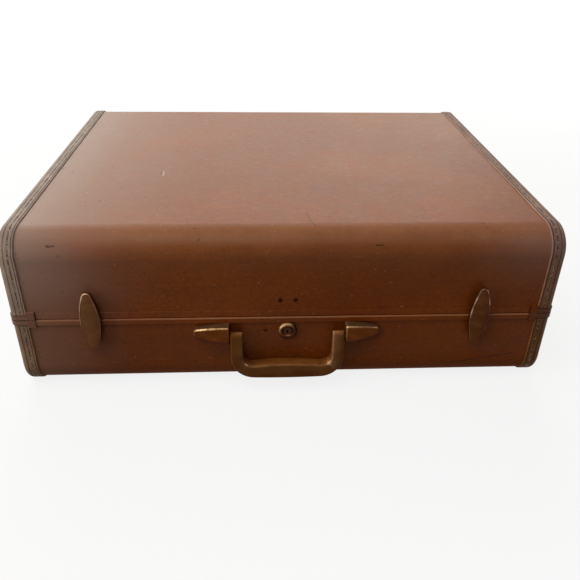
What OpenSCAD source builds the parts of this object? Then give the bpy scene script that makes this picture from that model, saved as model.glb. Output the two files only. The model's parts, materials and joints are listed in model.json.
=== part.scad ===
// Vintage hard suitcase lying flat, lid up: an assembly of separate pieces.
// Millimetres. +X to the right seen from the handle side, +Y to the hinge side, +Z up.
// The origin is the middle of the footprint, on the floor.

/* [Case] */
// Overall length over the end bindings
case_w = 610; // [570:5:650]
// Front to back over the covers
case_d = 478; // [430:2:520]
// Height of the tray cover up to the parting plane
tray_h = 95; // [90:1:110]
// Height of the lid cover above the parting plane
lid_h = 102; // [94:1:120]
// Radius of the rolled long edges
roll_r = 29; // [24:1:34]
// Thickness of the covers
wall_t = 4; // [3.5:0.5:5]
// Thickness of the end panels
end_t = 6; // [5.5:0.5:8]
// Gap between lid and tray at the parting plane
part_gap = 0.8; // [0.6:0.1:1.2]

/* [Bindings] */
// Width of a binding on the cover
bind_flange = 18; // [16:0.5:22]
// Width of a binding on the end panel
bind_side = 16; // [13:0.5:20]
// Thickness of a binding
bind_t = 1.6; // [1.4:0.1:2]
// Radius of a binding's outer edge
bind_round = 7; // [6:0.5:8]
// Width of the bead along a binding's inner edge
bead_w = 1.8; // [1.4:0.1:2.2]
// Distance of the stitch groove from the binding's inner edge
stitch_in = 6; // [5:0.5:7]
// Width of the stitch groove
stitch_w = 1.6; // [1:0.1:2]

/* [Parting bands] */
// Height of the lid's front and back bands
lid_band_h = 8; // [6:0.5:9]
// Height of the tray's front and back bands
tray_band_h = 7; // [5:0.5:8]
// Thickness of the lid's front and back bands
lid_band_t = 1.2; // [1:0.1:1.6]
// Thickness of the tray's front and back bands
tray_band_t = 2.4; // [2:0.1:2.6]
// Bevel along the upper edge of the tray's bands
tray_edge = 1.2; // [0.8:0.1:1.5]
// Height of each end band over the binding
end_band_h = 6; // [5:0.5:8]
// Thickness of the end bands over the bindings
end_band_t = 1.2; // [1:0.1:1.6]
// Length of an end band's tab past the binding
tab_len = 9; // [7:0.5:13]
// Height of an end band's tab
tab_h = 9.5; // [8:0.5:12]

/* [Inside] */
// Thickness of the tray lip
lip_t = 2.5; // [2:0.1:2.8]
// Height of the tray lip above the parting plane
lip_up = 7; // [5:0.5:8]
// Thickness of the linings
lining_t = 1.5; // [1:0.1:2]
// Distance of each packing strap from the case's end
strap_in = 175; // [145:1:205]
// Width of a packing strap
strap_w = 25; // [20:1:32]

/* [Handle] */
// Outer width of the handle
handle_w = 129; // [120:1:138]
// Drop of the grip's underside below the pivot
handle_drop = 57; // [52:1:62]
// Width of a handle leg
leg_w = 13.5; // [12:0.5:15]
// Height of the grip at the middle
grip_h = 20; // [18:0.5:22]
// Rise of the grip's upper edge at the middle
grip_bow = 4; // [2:0.5:5]
// Depth of the grip, front to back
handle_deep = 14; // [12:0.5:15]
// Depth of a leg at the pivot
leg_deep = 9; // [8.5:0.5:11]
// Pivot's distance in front of the tray
pivot_out = 9.5; // [9.4:0.1:10.5]
// Pivot's distance below the parting plane
pivot_drop = 20; // [19.5:0.5:22]
// Diameter of a handle pin
pin_d = 5; // [4:0.5:5]

/* [Brackets] */
// Length of a handle bracket
bracket_len = 41; // [38:1:46]
// Height of a handle bracket
bracket_h = 25; // [22:0.5:27]
// Stand-off of a handle bracket
bracket_out = 13; // [12.8:0.1:14]
// Gap between a bracket and the handle's leg
bracket_gap = 1.2; // [0.8:0.1:2]

/* [Latches] */
// Distance of each latch from the case's end
latch_in = 88; // [75:1:110]
// Width of a latch leaf
leaf_w = 22; // [20:0.5:25]
// Stand-off of a latch leaf's crown
leaf_out = 12; // [12:0.2:13]

/* [Lock] */
// Diameter of the lock bezel
bezel_d = 22; // [21:0.5:25]
// Height of the bezel's dome
bezel_out = 5; // [4.5:0.5:6]
// Diameter of the turning plug
plug_d = 10; // [9:0.5:10]

/* [Hinges and stays] */
// Distance of each hinge from the case's end
hinge_in = 115; // [95:1:150]
// Width of a hinge
hinge_w = 70; // [60:1:80]
// Pivot studs' distance from the hinge axis
stay_reach = 42; // [38:1:44]
// Pivot studs' height off the parting plane
stay_rise = 16; // [15:0.5:18]
// How far the lid opens
lid_open = 100; // [90:1:104]
// Width of a stay
stay_w = 12; // [11:0.5:13]

/* [Feet] */
// Distance of each foot from the case's end
foot_in = 65; // [55:1:80]
// Height of the feet from the flat side of their half
foot_up = 51; // [46:1:56]
// Diameter of a foot
foot_d = 18; // [16:0.5:20]
// Height of a foot's dome
foot_out = 8; // [7.5:0.5:8.5]

/* [Hidden] */
$fn = 96;

// Small overlap that keeps cuts clean
eps = 1;
// Gap between pieces that move past each other
free = 0.4;
// Side play of a hub, a stud or a cam pin
slack = 0.3;
// Radial gap of a running shaft
run = 0.05;

half_w = case_w / 2;
half_d = case_d / 2;
z_part = bind_t + tray_h;
z_top = z_part + lid_h;
half_gap = part_gap / 2;
tray_rim = z_part - half_gap;
cover_half = half_w - bind_round + 2;
panel_out = half_w - bind_t;
panel_in = panel_out - end_t;
wall_in = half_d - wall_t;
band_half = half_w - bind_flange - tab_len - slack;
band_bevel = 0.4;
bead_r = bead_w / 2;
groove_w = 0.8;
groove_deep = 0.5;

lining_drop = 9;
floor_z = bind_t + wall_t + lining_t;
strap_x = half_w - strap_in;
strap_t = 1.2;
buckle_d = 34;
buckle_rim = 4;
buckle_bar = 5;
buckle_t = 2;
lip_stop = 60;
lip_play = 0.6;
notch_half = 9;

pivot_z = z_part - pivot_drop;
leg_top = leg_deep / 2;
leg_taper = 26;
bracket_x = handle_w / 2 + bracket_gap;
bracket_tip = 5;
bracket_tip_out = 3;
bracket_high = 2;
bracket_low = 8;
pin_seat = 9;
pin_in = 8;
pin_end = 2;
handle_turn = 26;
handle_inner = 12;
handle_bow = 2;
handle_round = 5;

latch_x = half_w - latch_in;
leaf_half = 46;
leaf_tip_r = 5.2;
leaf_wall = 1.4;
leaf_back = 5.5;
leaf_crown = 26;
leaf_r = (leaf_half * leaf_half + leaf_w * leaf_w / 4) / leaf_w;
leaf_cx = leaf_r - leaf_w / 2;
tip_dz = sqrt(pow(leaf_r - leaf_tip_r, 2) - leaf_cx * leaf_cx);
leaf_low = 32;
leaf_mid = z_part + 0.8;
latch_pz = leaf_mid - leaf_low + 4.5;
claw_w = 8;
claw_t = 3;
claw_gap = 0.6;
latch_po = 6.4;
ear_r = 2.8;
ear_in = 2.8;
ear_t = 1.2;
hub_r = 2.6;
latch_pin_r = 1.2;
base_t = 1.4;
base_half = 5;
base_foot = 3.5;
base_top = tray_rim - tray_band_h - free;
spring_w = 4;
spring_t = 0.5;
spring_bend = 8;
keeper_t = 1.2;
keeper_half = 5;
keeper_h = 11;
keeper_z = z_part + 12;
keeper_bar = 3;
keeper_reach = 4.6;

lock_z = z_part - 19;
lock_boss_r = 8;
bezel_step = 1.6;
plug_face = 3.4;
key_r = 1.4;
key_slot = 3.2;
key_deep = 0.5;
cam_r = 5;
cam_pin_r = 1.5;
cam_rest = -45;
cam_y = 2.4;
cam_t = 1;
cam_w = 4;
cam_rim = 0.6;
slot_end = 0.5;
bolt_y = 3.8;
bolt_t = 2.4;
bolt_z = z_part - 7.6;
bolt_h = 4;
bolt_tip = -6.5;
bolt_tail = -19;
bolt_neck = 6.4;
flange_x0 = -31;
case_x0 = -21.5;
case_x1 = 16;
case_y1 = 10;
case_wall = 1.2;
case_low = lock_z - lock_boss_r - 3;
case_top = tray_rim - 0.5;
case_ear = 5;
strike_off = 0.7;
strike_t = 1.5;
strike_h = 20;
strike_half = 14;
strike_low = z_part + lip_up + 1.5;
tongue_half = 5;
loop_wall = 1.6;
lock_rivet_x = -25.5;
strike_rivet_x = 8.6;
strike_rivet_z = z_part + 21;

knuckle_r = 3.2;
hinge_pin_r = 1.6;
hinge_out = 3.6;
hinge_y = half_d + hinge_out;
hinge_leaf_t = 1.4;
hinge_leaf_h = 24;
knuckle_len = 20;
hinge_x = half_w - hinge_in;
rivet_r = 1.5;
rivet_head_r = 2.6;
rivet_head_h = 1.2;
rivet_dx = 24;
rivet_dz = 15;

stay_y = hinge_y - stay_reach;
stay_rad = sqrt(stay_reach * stay_reach + stay_rise * stay_rise);
stay_half = lid_open / 2 + atan(stay_rise / stay_reach);
stay_long = 2 * stay_rad * sin(stay_half);
stay_t = 1.6;
stay_x = panel_in - lip_t - 3 * slack;
stud_r = 2.5;
stud_stop = 1.5;
stud_head_r = 4.5;
stud_head_t = 1.3;

foot_r = foot_d / 2;
foot_x = half_w - foot_in;

front_reach = pivot_out + handle_deep / 2;
frame_y = (front_reach - foot_out) / 2;

// Placing helpers

// Puts the origin at the middle of the footprint.
module placed() {
  translate([0, frame_y, 0])
    children();
}

// Extrudes a (Y, Z) outline along X, centred.
module along_x(len) {
  rotate([90, 0, 90])
    linear_extrude(len, center = true)
      children();
}

// Extrudes an (X, Z) outline along Y from y0 to y1.
module along_y(y0, y1) {
  translate([0, y1, 0])
    rotate([90, 0, 0])
      linear_extrude(y1 - y0)
        children();
}

// A round bar along X from x0 to x1.
module rod_x(x0, x1, r) {
  translate([x0, 0, 0])
    rotate([0, 90, 0])
      cylinder(h = x1 - x0, r = r);
}

// A round bar along Y from y0 to y1.
module rod_y(y0, y1, r) {
  translate([0, y1, 0])
    rotate([90, 0, 0])
      cylinder(h = y1 - y0, r = r);
}

// Turns a piece drawn as a tray half over into the lid half.
module as_lid() {
  translate([0, 0, z_top + bind_t])
    mirror([0, 0, 1])
      children();
}

module both_sides() {
  children();
  mirror([1, 0, 0])
    children();
}

// Puts a piece drawn against y = 0, outward along -Y, on the front of the case.
module on_front() {
  translate([0, -half_d, 0])
    children();
}

// Shell halves, drawn as a tray: flat side down, height hh to the parting plane

// Rounded rectangle of the case's end view, inset by t.
module end_view(t) {
  r = roll_r - t;
  y0 = -half_d + t;
  z0 = bind_t + t;
  w = 2 * (half_d - t);
  h = tray_h + lid_h - 2 * t;
  union() {
    translate([y0 + r, z0])
      square([w - 2 * r, h]);
    translate([y0, z0 + r])
      square([w, h - 2 * r]);
    for (y = [y0 + r, y0 + w - r])
      for (z = [z0 + r, z0 + h - r])
        translate([y, z])
          circle(r);
  }
}

// The part of the end view that lies below height z.
module half_view(t, z) {
  intersection() {
    end_view(t);
    translate([-case_d, 0])
      square([2 * case_d, z]);
  }
}

module cover_half_shell(hh) {
  z = bind_t + hh - half_gap;
  along_x(2 * cover_half)
    difference() {
      half_view(0, z);
      end_view(wall_t);
    }
}

module end_panel(hh) {
  z = bind_t + hh - half_gap;
  translate([panel_in + end_t / 2, 0, 0])
    along_x(end_t)
      half_view(wall_t, z);
}

// Section of a binding: x along the case, y out from the cover.
module binding_section() {
  x0 = half_w - bind_flange;
  difference() {
    polygon([
      [x0, 0],
      [cover_half, 0],
      [cover_half, -wall_t],
      [panel_out, -wall_t],
      [panel_out, -bind_side],
      [half_w, -bind_side],
      [half_w, bind_t],
      [x0, bind_t]
    ]);
    translate([half_w - bind_round, bind_t - bind_round])
      difference() {
        square(bind_round + eps);
        circle(bind_round);
      }
    translate([x0 + bead_r, bind_t - bead_r])
      difference() {
        translate([-bead_r - eps, 0])
          square([bead_w + eps, bead_r + eps]);
        circle(bead_r);
      }
    groove(x0 + bead_w + groove_w / 2, groove_w);
    groove(x0 + stitch_in, stitch_w);
    groove(half_w - bind_round - groove_w / 2, groove_w);
  }
}

// Cutter for a groove w wide in a binding's outer face.
module groove(x, w) {
  translate([x - w / 2, bind_t - groove_deep])
    square([w, groove_deep + eps]);
}

// One quarter of a binding around a rolled edge, first at angle a.
module binding_turn(y, a) {
  translate([0, y, bind_t + roll_r])
    rotate([90, 0, 90])
      rotate([0, 0, a])
        rotate_extrude(angle = 90)
          translate([roll_r, 0])
            mirror([1, -1, 0])
              binding_section();
}

module binding(hh) {
  z0 = bind_t + roll_r;
  z1 = bind_t + hh - half_gap;
  union() {
    translate([0, -half_d, z0])
      linear_extrude(z1 - z0)
        mirror([0, 1, 0])
          binding_section();
    translate([0, half_d, z0])
      linear_extrude(z1 - z0)
        binding_section();
    translate([0, -half_d + roll_r, bind_t])
      rotate([-90, 0, 0])
        linear_extrude(case_d - 2 * roll_r)
          binding_section();
    binding_turn(-half_d + roll_r, 180);
    binding_turn(half_d - roll_r, 270);
  }
}

// Straight band of height h and thickness t on the front, with a bevel of size edge along the parting plane.
module front_band(hh, h, t, edge) {
  z1 = bind_t + hh - half_gap;
  on_front()
    along_x(2 * band_half)
      polygon([
        [0, z1 - h],
        [0, z1],
        [-t + edge, z1],
        [-t, z1 - edge],
        [-t, z1 - h + band_bevel],
        [-t + band_bevel, z1 - h]
      ]);
}

module back_band(hh, h, t, edge) {
  difference() {
    mirror([0, 1, 0])
      front_band(hh, h, t, edge);
    for (x = [-hinge_x, hinge_x])
      translate([x - hinge_w / 2 - eps, 0, 0])
        cube([hinge_w + 2 * eps, case_d, case_d]);
  }
}

// Plan of the right-hand end band, where it lies over the binding.
module end_band_plan() {
  y_out = half_d + bind_t;
  y_turn = y_out - bind_round;
  y_side = half_d - bind_side;
  r_out = bind_round + end_band_t;
  union() {
    for (s = [0, 1])
      mirror([0, s, 0]) {
        translate([half_w - bind_round, y_turn])
          intersection() {
            difference() {
              circle(r_out);
              circle(bind_round);
            }
            square(r_out + eps);
          }
        translate([half_w - bind_flange, y_out])
          square([bind_flange - bind_round, end_band_t]);
        translate([half_w, y_side])
          square([end_band_t, y_turn - y_side]);
      }
    translate([panel_out, -y_side])
      square([bind_t + end_band_t, 2 * y_side]);
  }
}

// Plan of its tabs, which lie on the front and on the back beside the binding.
module end_tab_plan() {
  for (s = [0, 1])
    mirror([0, s, 0])
      translate([half_w - bind_flange - tab_len, half_d])
        square([tab_len, bind_t + end_band_t]);
}

module end_bands(hh) {
  z1 = bind_t + hh - half_gap;
  both_sides()
    union() {
      translate([0, 0, z1 - end_band_h])
        linear_extrude(end_band_h)
          end_band_plan();
      translate([0, 0, z1 - tab_h])
        linear_extrude(tab_h)
          end_tab_plan();
    }
}

module lining(hh) {
  z = bind_t + hh - lining_drop - half_gap;
  difference() {
    along_x(2 * panel_in)
      half_view(wall_t, z);
    along_x(2 * (panel_in - lining_t))
      end_view(wall_t + lining_t);
  }
}

// Holes through the covers

module lock_holes() {
  translate([0, 0, lock_z])
    rod_y(-half_d - eps, -wall_in + eps, lock_boss_r + run);
  translate([lock_rivet_x, 0, lock_z])
    rod_y(-half_d - eps, -wall_in + eps, rivet_r + run);
}

module strike_holes() {
  for (x = [-strike_rivet_x, strike_rivet_x])
    translate([x, 0, strike_rivet_z])
      rod_y(-half_d - eps, -wall_in + eps, rivet_r + run);
}

// Places children at every hinge rivet of one half; side is -1 below the parting plane, 1 above.
module at_hinge_rivets(side) {
  for (x = [-hinge_x, hinge_x])
    for (dx = [-rivet_dx, rivet_dx])
      translate([x + dx, 0, z_part + side * rivet_dz])
        children();
}

module hinge_holes(side) {
  at_hinge_rivets(side)
    rod_y(wall_in - eps, half_d + hinge_leaf_t + eps, rivet_r + run);
}

// Tray

module tray_cover() {
  color("SaddleBrown")
    difference() {
      cover_half_shell(tray_h);
      lock_holes();
      hinge_holes(-1);
    }
}

module tray_right_end() {
  color("SaddleBrown")
    difference() {
      end_panel(tray_h);
      stud_holes(-1);
    }
}

module tray_left_end() {
  mirror([1, 0, 0])
    tray_right_end();
}

module tray_right_binding() {
  color("Sienna")
    binding(tray_h);
}

module tray_left_binding() {
  mirror([1, 0, 0])
    tray_right_binding();
}

module tray_front_band() {
  color("SaddleBrown")
    front_band(tray_h, tray_band_h, tray_band_t, tray_edge);
}

module tray_back_band() {
  color("SaddleBrown")
    back_band(tray_h, tray_band_h, tray_band_t, tray_edge);
}

module tray_end_bands() {
  color("Sienna")
    end_bands(tray_h);
}

// Ring sector of the lip between two insets, open at the back.
module lip_plan(inset) {
  difference() {
    translate([-panel_in + inset, -wall_in + inset])
      square([2 * (panel_in - inset), 2 * wall_in - lip_stop - inset]);
    translate([-panel_in + lip_t, -wall_in + lip_t])
      square([2 * (panel_in - lip_t), case_d]);
    translate([-notch_half, -case_d])
      square([2 * notch_half, case_d]);
  }
}

module tray_lip() {
  color("Peru")
    union() {
      translate([0, 0, tray_rim - lining_drop])
        linear_extrude(lining_drop)
          lip_plan(0);
      translate([0, 0, tray_rim])
        linear_extrude(half_gap + lip_up)
          lip_plan(lip_play);
    }
}

module tray_lining() {
  color("BurlyWood")
    difference() {
      lining(tray_h);
      translate([flange_x0 - free, -half_d, case_low - eps])
        cube([case_x1 - flange_x0 + 2 * free, wall_t + case_y1 + free, tray_h]);
      stud_holes(-1);
    }
}

module packing_straps() {
  len = 2 * (wall_in - roll_r);
  color("Tan")
    for (x = [-strap_x, strap_x])
      translate([x - strap_w / 2, -len / 2, floor_z])
        cube([strap_w, len, strap_t]);
}

// A flat frame with a centre bar, lying on each strap.
module strap_buckles() {
  w = strap_w + 2 * buckle_rim;
  color("DarkGoldenrod")
    for (x = [-strap_x, strap_x])
      translate([x, 0, floor_z + strap_t])
        linear_extrude(buckle_t)
          difference() {
            square([w, buckle_d], center = true);
            for (s = [-1, 1])
              translate([0, s * buckle_d / 4])
                square([strap_w + eps, buckle_d / 2 - buckle_bar], center = true);
          }
}

// Handle brackets

// Front view of a bracket: flat at x = 0, drawn to a blunt tip at x = bracket_len.
module bracket_front() {
  h = bracket_h / 2;
  tip = bracket_tip;
  dx = bracket_len - tip;
  r = (dx * dx + h * h - tip * tip) / (2 * (h - tip));
  x_meet = dx * r / (r - tip);
  union() {
    intersection() {
      translate([0, h - r])
        circle(r);
      translate([0, r - h])
        circle(r);
      translate([0, -bracket_h])
        square([x_meet, 2 * bracket_h]);
    }
    translate([dx, 0])
      circle(tip);
  }
}

// Plan of a bracket: full stand-off at x = 0, thin at the tip; y is outward.
module bracket_plan() {
  drop = bracket_out - bracket_tip_out;
  r = (bracket_len * bracket_len + drop * drop) / (2 * drop);
  intersection() {
    translate([0, bracket_out - r])
      circle(r);
    square([bracket_len + eps, bracket_out]);
  }
}

// End view of a bracket: y outward, z up, softer below than above.
module bracket_end() {
  h = bracket_h / 2;
  union() {
    translate([0, -h])
      square([bracket_out - bracket_low, bracket_h]);
    translate([0, bracket_low - h])
      square([bracket_out, bracket_h - bracket_low - bracket_high]);
    translate([0, h - bracket_high])
      square([bracket_out - bracket_high, bracket_high]);
    translate([bracket_out - bracket_high, h - bracket_high])
      circle(bracket_high);
    translate([bracket_out - bracket_low, bracket_low - h])
      circle(bracket_low);
  }
}

module right_handle_bracket() {
  color("DarkGoldenrod")
    on_front()
      translate([bracket_x, 0, pivot_z])
        difference() {
          intersection() {
            along_y(-bracket_out, 0)
              bracket_front();
            translate([0, 0, -bracket_h])
              linear_extrude(2 * bracket_h)
                mirror([0, 1, 0])
                  bracket_plan();
            rotate([90, 0, 90])
              linear_extrude(bracket_len + eps)
                mirror([1, 0, 0])
                  bracket_end();
          }
          translate([0, -pivot_out, 0])
            rod_x(-eps, pin_seat, pin_d / 2 + run / 2);
          translate([-eps, -tray_band_t - run, tray_rim - tray_band_h - pivot_z - run])
            cube([bracket_len + 2 * eps, tray_band_t + run + eps, bracket_h]);
        }
}

module left_handle_bracket() {
  mirror([1, 0, 0])
    right_handle_bracket();
}

module handle_pins() {
  color("DimGray")
    both_sides()
      on_front()
        translate([bracket_x, -pivot_out, pivot_z])
          rod_x(-bracket_gap - pin_in, pin_seat, pin_d / 2);
}

// Handle

// Opening of the handle: straight sides, an arched lower edge, and corners tangent to both.
module handle_gap() {
  in_half = handle_w / 2 - leg_w;
  arch_r = (in_half * in_half + grip_bow * grip_bow) / (2 * grip_bow);
  arch_y = grip_h - handle_drop - arch_r;
  corner_x = in_half - handle_inner;
  corner_y = arch_y + sqrt(pow(arch_r + handle_inner, 2) - corner_x * corner_x);
  meet_x = corner_x * arch_r / (arch_r + handle_inner);
  difference() {
    translate([-in_half, -handle_drop])
      square([2 * in_half, handle_drop + leg_top + eps]);
    translate([0, arch_y])
      circle(arch_r, $fn = 200);
    for (s = [0, 1])
      mirror([s, 0])
        difference() {
          translate([meet_x, -handle_drop])
            square([in_half - meet_x, handle_drop + corner_y]);
          translate([corner_x, corner_y])
            circle(handle_inner);
        }
  }
}

// Front view of the handle: x across, y up from the pivot line.
module handle_front() {
  w = handle_w / 2;
  turn = handle_turn;
  bow_r = (w * w + handle_bow * handle_bow) / (2 * handle_bow);
  difference() {
    intersection() {
      union() {
        translate([-w, turn - handle_drop])
          square([2 * w, handle_drop - turn + leg_top]);
        translate([turn - w, -handle_drop])
          square([2 * (w - turn), turn + eps]);
        for (s = [-1, 1])
          translate([s * (w - turn), turn - handle_drop])
            circle(turn);
      }
      translate([0, bow_r - handle_drop])
        circle(bow_r, $fn = 200);
    }
    handle_gap();
  }
}

// Side view of the handle: x outward from the pivot, y up; the legs are thinner than the grip.
module handle_side() {
  d = handle_deep / 2;
  r = handle_round;
  union() {
    circle(leg_top);
    polygon([
      [leg_top, 0],
      [-leg_top, 0],
      [-d, -leg_taper],
      [-d, r - handle_drop],
      [d, r - handle_drop],
      [d, -leg_taper]
    ]);
    translate([r - d, -handle_drop])
      square([2 * (d - r), r + eps]);
    for (s = [-1, 1])
      translate([s * (d - r), r - handle_drop])
        circle(r);
  }
}

module handle() {
  color("Olive")
    on_front()
      translate([0, -pivot_out, pivot_z])
        difference() {
          intersection() {
            along_y(-handle_deep, handle_deep)
              handle_front();
            along_x(2 * handle_w)
              handle_side();
          }
          both_sides()
            rod_x(handle_w / 2 - pin_in - pin_end, handle_w / 2 + eps, pin_d / 2 + run);
        }
}

// Latches, drawn at x = 0 against the front

// Pointed oval of a leaf, inset by t: x across, y up from its middle.
module leaf_front(t) {
  r = leaf_r - t;
  tip = leaf_tip_r - t;
  z_meet = tip_dz * r / (r - tip);
  union() {
    intersection() {
      translate([leaf_cx, 0])
        circle(r, $fn = 200);
      translate([-leaf_cx, 0])
        circle(r, $fn = 200);
      translate([-leaf_w, -leaf_low - t])
        square([2 * leaf_w, leaf_low + t + z_meet]);
    }
    translate([0, tip_dz])
      circle(tip);
  }
}

// Upright cylinder that crowns a leaf, inset by t.
module leaf_crowning(t) {
  translate([0, leaf_crown - leaf_out, 0])
    cylinder(h = 4 * leaf_half, r = leaf_crown - t, center = true, $fn = 200);
}

module latch_lever() {
  claw_z = keeper_z + keeper_bar + claw_gap;
  hub_half = ear_in - slack;
  color("DarkKhaki")
    difference() {
      union() {
        translate([0, 0, leaf_mid])
          difference() {
            intersection() {
              along_y(-leaf_out, -leaf_back)
                leaf_front(0);
              leaf_crowning(0);
            }
            intersection() {
              along_y(-leaf_out, -leaf_back + eps)
                leaf_front(leaf_wall);
              leaf_crowning(leaf_wall);
            }
          }
        translate([0, -latch_po, latch_pz])
          rod_x(-hub_half, hub_half, hub_r);
        translate([-hub_half, leaf_wall / 2 - leaf_out, latch_pz - hub_r])
          cube([2 * hub_half, leaf_out - latch_po - leaf_wall / 2, 2 * hub_r]);
        translate([-claw_w / 2, leaf_wall - leaf_out - free, claw_z])
          cube([claw_w, leaf_out - leaf_wall - keeper_reach, claw_t]);
      }
      translate([0, -latch_po, latch_pz])
        rod_x(-leaf_w, leaf_w, latch_pin_r + run);
    }
}

// Base plate with two ears for the pin.
module latch_base() {
  color("DimGray")
    difference() {
      union() {
        translate([-base_half, -base_t, latch_pz - base_foot])
          cube([2 * base_half, base_t, base_top - latch_pz + base_foot]);
        for (s = [-1, 1])
          translate([s > 0 ? ear_in : -ear_in - ear_t, 0, latch_pz]) {
            translate([0, -latch_po, 0])
              rod_x(0, ear_t, ear_r);
            translate([0, -latch_po, -ear_r])
              cube([ear_t, latch_po, 2 * ear_r]);
          }
      }
      translate([0, -latch_po, latch_pz])
        rod_x(-leaf_w, leaf_w, latch_pin_r + run / 5);
    }
}

module latch_pin() {
  translate([0, -latch_po, latch_pz])
    rod_x(-ear_in - ear_t, ear_in + ear_t, latch_pin_r);
}

// Flat spring that presses on the lever's hub from behind.
module latch_spring() {
  top = base_top - free;
  near = latch_po - hub_r - slack;
  along_x(spring_w)
    polygon([
      [-base_t, top],
      [-base_t - spring_t, top],
      [-base_t - spring_t, latch_pz + spring_bend],
      [-near, latch_pz + 1],
      [-near, latch_pz - 2],
      [-near + spring_t, latch_pz - 2],
      [-near + spring_t, latch_pz + 1],
      [-base_t, latch_pz + spring_bend - free]
    ]);
}

// Plate on the lid with the bar that the lever's claw closes on.
module latch_keeper() {
  bar_r = keeper_bar / 2;
  union() {
    translate([-keeper_half, -keeper_t, z_part + half_gap + lid_band_h + free])
      cube([2 * keeper_half, keeper_t, keeper_h]);
    translate([-keeper_half, bar_r - keeper_reach, keeper_z])
      cube([2 * keeper_half, keeper_reach - bar_r, keeper_bar]);
    translate([0, bar_r - keeper_reach, keeper_z + bar_r])
      rod_x(-keeper_half, keeper_half, bar_r);
  }
}

module left_latch_lever() {
  on_front()
    translate([-latch_x, 0, 0])
      latch_lever();
}

module right_latch_lever() {
  on_front()
    translate([latch_x, 0, 0])
      latch_lever();
}

module left_latch_base() {
  on_front()
    translate([-latch_x, 0, 0])
      latch_base();
}

module right_latch_base() {
  on_front()
    translate([latch_x, 0, 0])
      latch_base();
}

module latch_pins() {
  color("Gray")
    both_sides()
      on_front()
        translate([latch_x, 0, 0])
          latch_pin();
}

module latch_springs() {
  color("Silver")
    both_sides()
      on_front()
        translate([latch_x, 0, 0])
          latch_spring();
}

module latch_keepers() {
  color("DimGray")
    both_sides()
      on_front()
        translate([latch_x, 0, 0])
          latch_keeper();
}

// Lock

module lock_bezel() {
  r = bezel_d / 2;
  ball = (r * r + bezel_out * bezel_out) / (2 * bezel_out);
  color("DarkGoldenrod")
    on_front()
      translate([0, 0, lock_z])
        difference() {
          union() {
            intersection() {
              translate([0, ball - bezel_out, 0])
                sphere(ball);
              rod_y(-bezel_out - eps, 0, r);
            }
            rod_y(0, wall_t, lock_boss_r);
          }
          rod_y(-bezel_out - eps, wall_t + eps, plug_d / 2 + run);
          rod_y(-bezel_out - eps, -plug_face, plug_d / 2 + bezel_step);
        }
}

// Turning plug with a keyhole in front and a cam pin behind.
module lock_plug() {
  y_in = wall_t + cam_y;
  color("Goldenrod")
    on_front()
      translate([0, 0, lock_z])
        difference() {
          union() {
            rod_y(-plug_face + free, y_in, plug_d / 2);
            rotate([0, cam_rest, 0]) {
              translate([0, 0, cam_r])
                rod_y(y_in - cam_rim, y_in + cam_t, cam_pin_r + cam_rim);
              translate([-cam_w / 2, y_in - cam_rim, 0])
                cube([cam_w, cam_t + cam_rim, cam_r]);
              translate([0, 0, cam_r])
                rod_y(y_in, wall_t + bolt_y + bolt_t + free, cam_pin_r);
            }
          }
          rod_y(-plug_face - eps, key_deep, key_r);
          translate([-key_r / 2, -plug_face - eps, -key_slot])
            cube([key_r, plug_face + eps + key_deep, key_slot]);
        }
}

// Sliding bolt with a slot for the cam pin; the tip points to +X.
module lock_bolt() {
  pin_x = cam_r * sin(cam_rest);
  slot_w = 2 * (cam_pin_r + slack);
  slot_low = lock_z + cam_r * cos(cam_rest) - cam_pin_r - slot_end;
  slot_h = cam_r * (1 - cos(cam_rest)) + 2 * (cam_pin_r + slot_end);
  tail_top = bolt_z - bolt_h / 2 - 1.8;
  tail_low = lock_z - 2;
  color("Silver")
    on_front()
      along_y(wall_t + bolt_y, wall_t + bolt_y + bolt_t)
        difference() {
          union() {
            translate([bolt_tail, bolt_z - bolt_h / 2])
              square([bolt_tip - bolt_tail, bolt_h]);
            translate([bolt_tail, tail_low])
              square([bolt_neck, bolt_z + bolt_h / 2 - tail_low]);
            translate([bolt_tail, tail_low])
              square([pin_x + 3 * cam_pin_r - bolt_tail, tail_top - tail_low]);
          }
          translate([pin_x - slot_w / 2, slot_low])
            square([slot_w, slot_h]);
        }
}

// Box behind the front wall, open to the wall and above the strike, with a riveted ear.
module lock_case() {
  z0 = case_low;
  z1 = case_top;
  inner_w = case_x1 - case_x0 - 2 * case_wall;
  inner_y = case_y1 - case_wall + eps;
  mouth = 2 * notch_half - 3;
  color("Gray")
    on_front()
      translate([0, wall_t, 0])
        difference() {
          union() {
            translate([case_x0, 0, z0])
              cube([case_x1 - case_x0, case_y1, z1 - z0]);
            translate([flange_x0, 0, lock_z - case_ear])
              cube([case_x0 - flange_x0 + eps / 2, case_wall, 2 * case_ear]);
          }
          translate([case_x0 + case_wall, -eps, z0 + case_wall])
            cube([inner_w, inner_y, z1 - z0 - 2 * case_wall]);
          translate([-mouth / 2, -eps, z1 - 2 * case_wall])
            cube([mouth, inner_y, 4 * case_wall]);
          translate([case_x0 - eps, -eps, tray_rim - lining_drop - slack])
            cube([inner_w + 4 * case_wall, lip_t + free + eps, lining_drop + eps]);
          translate([lock_rivet_x, 0, lock_z])
            rod_y(-eps, 2 * case_wall, rivet_r + run);
        }
}

module lock_rivet() {
  color("DimGray")
    on_front()
      translate([lock_rivet_x, 0, lock_z])
        rivet(wall_t + case_wall);
}

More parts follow.
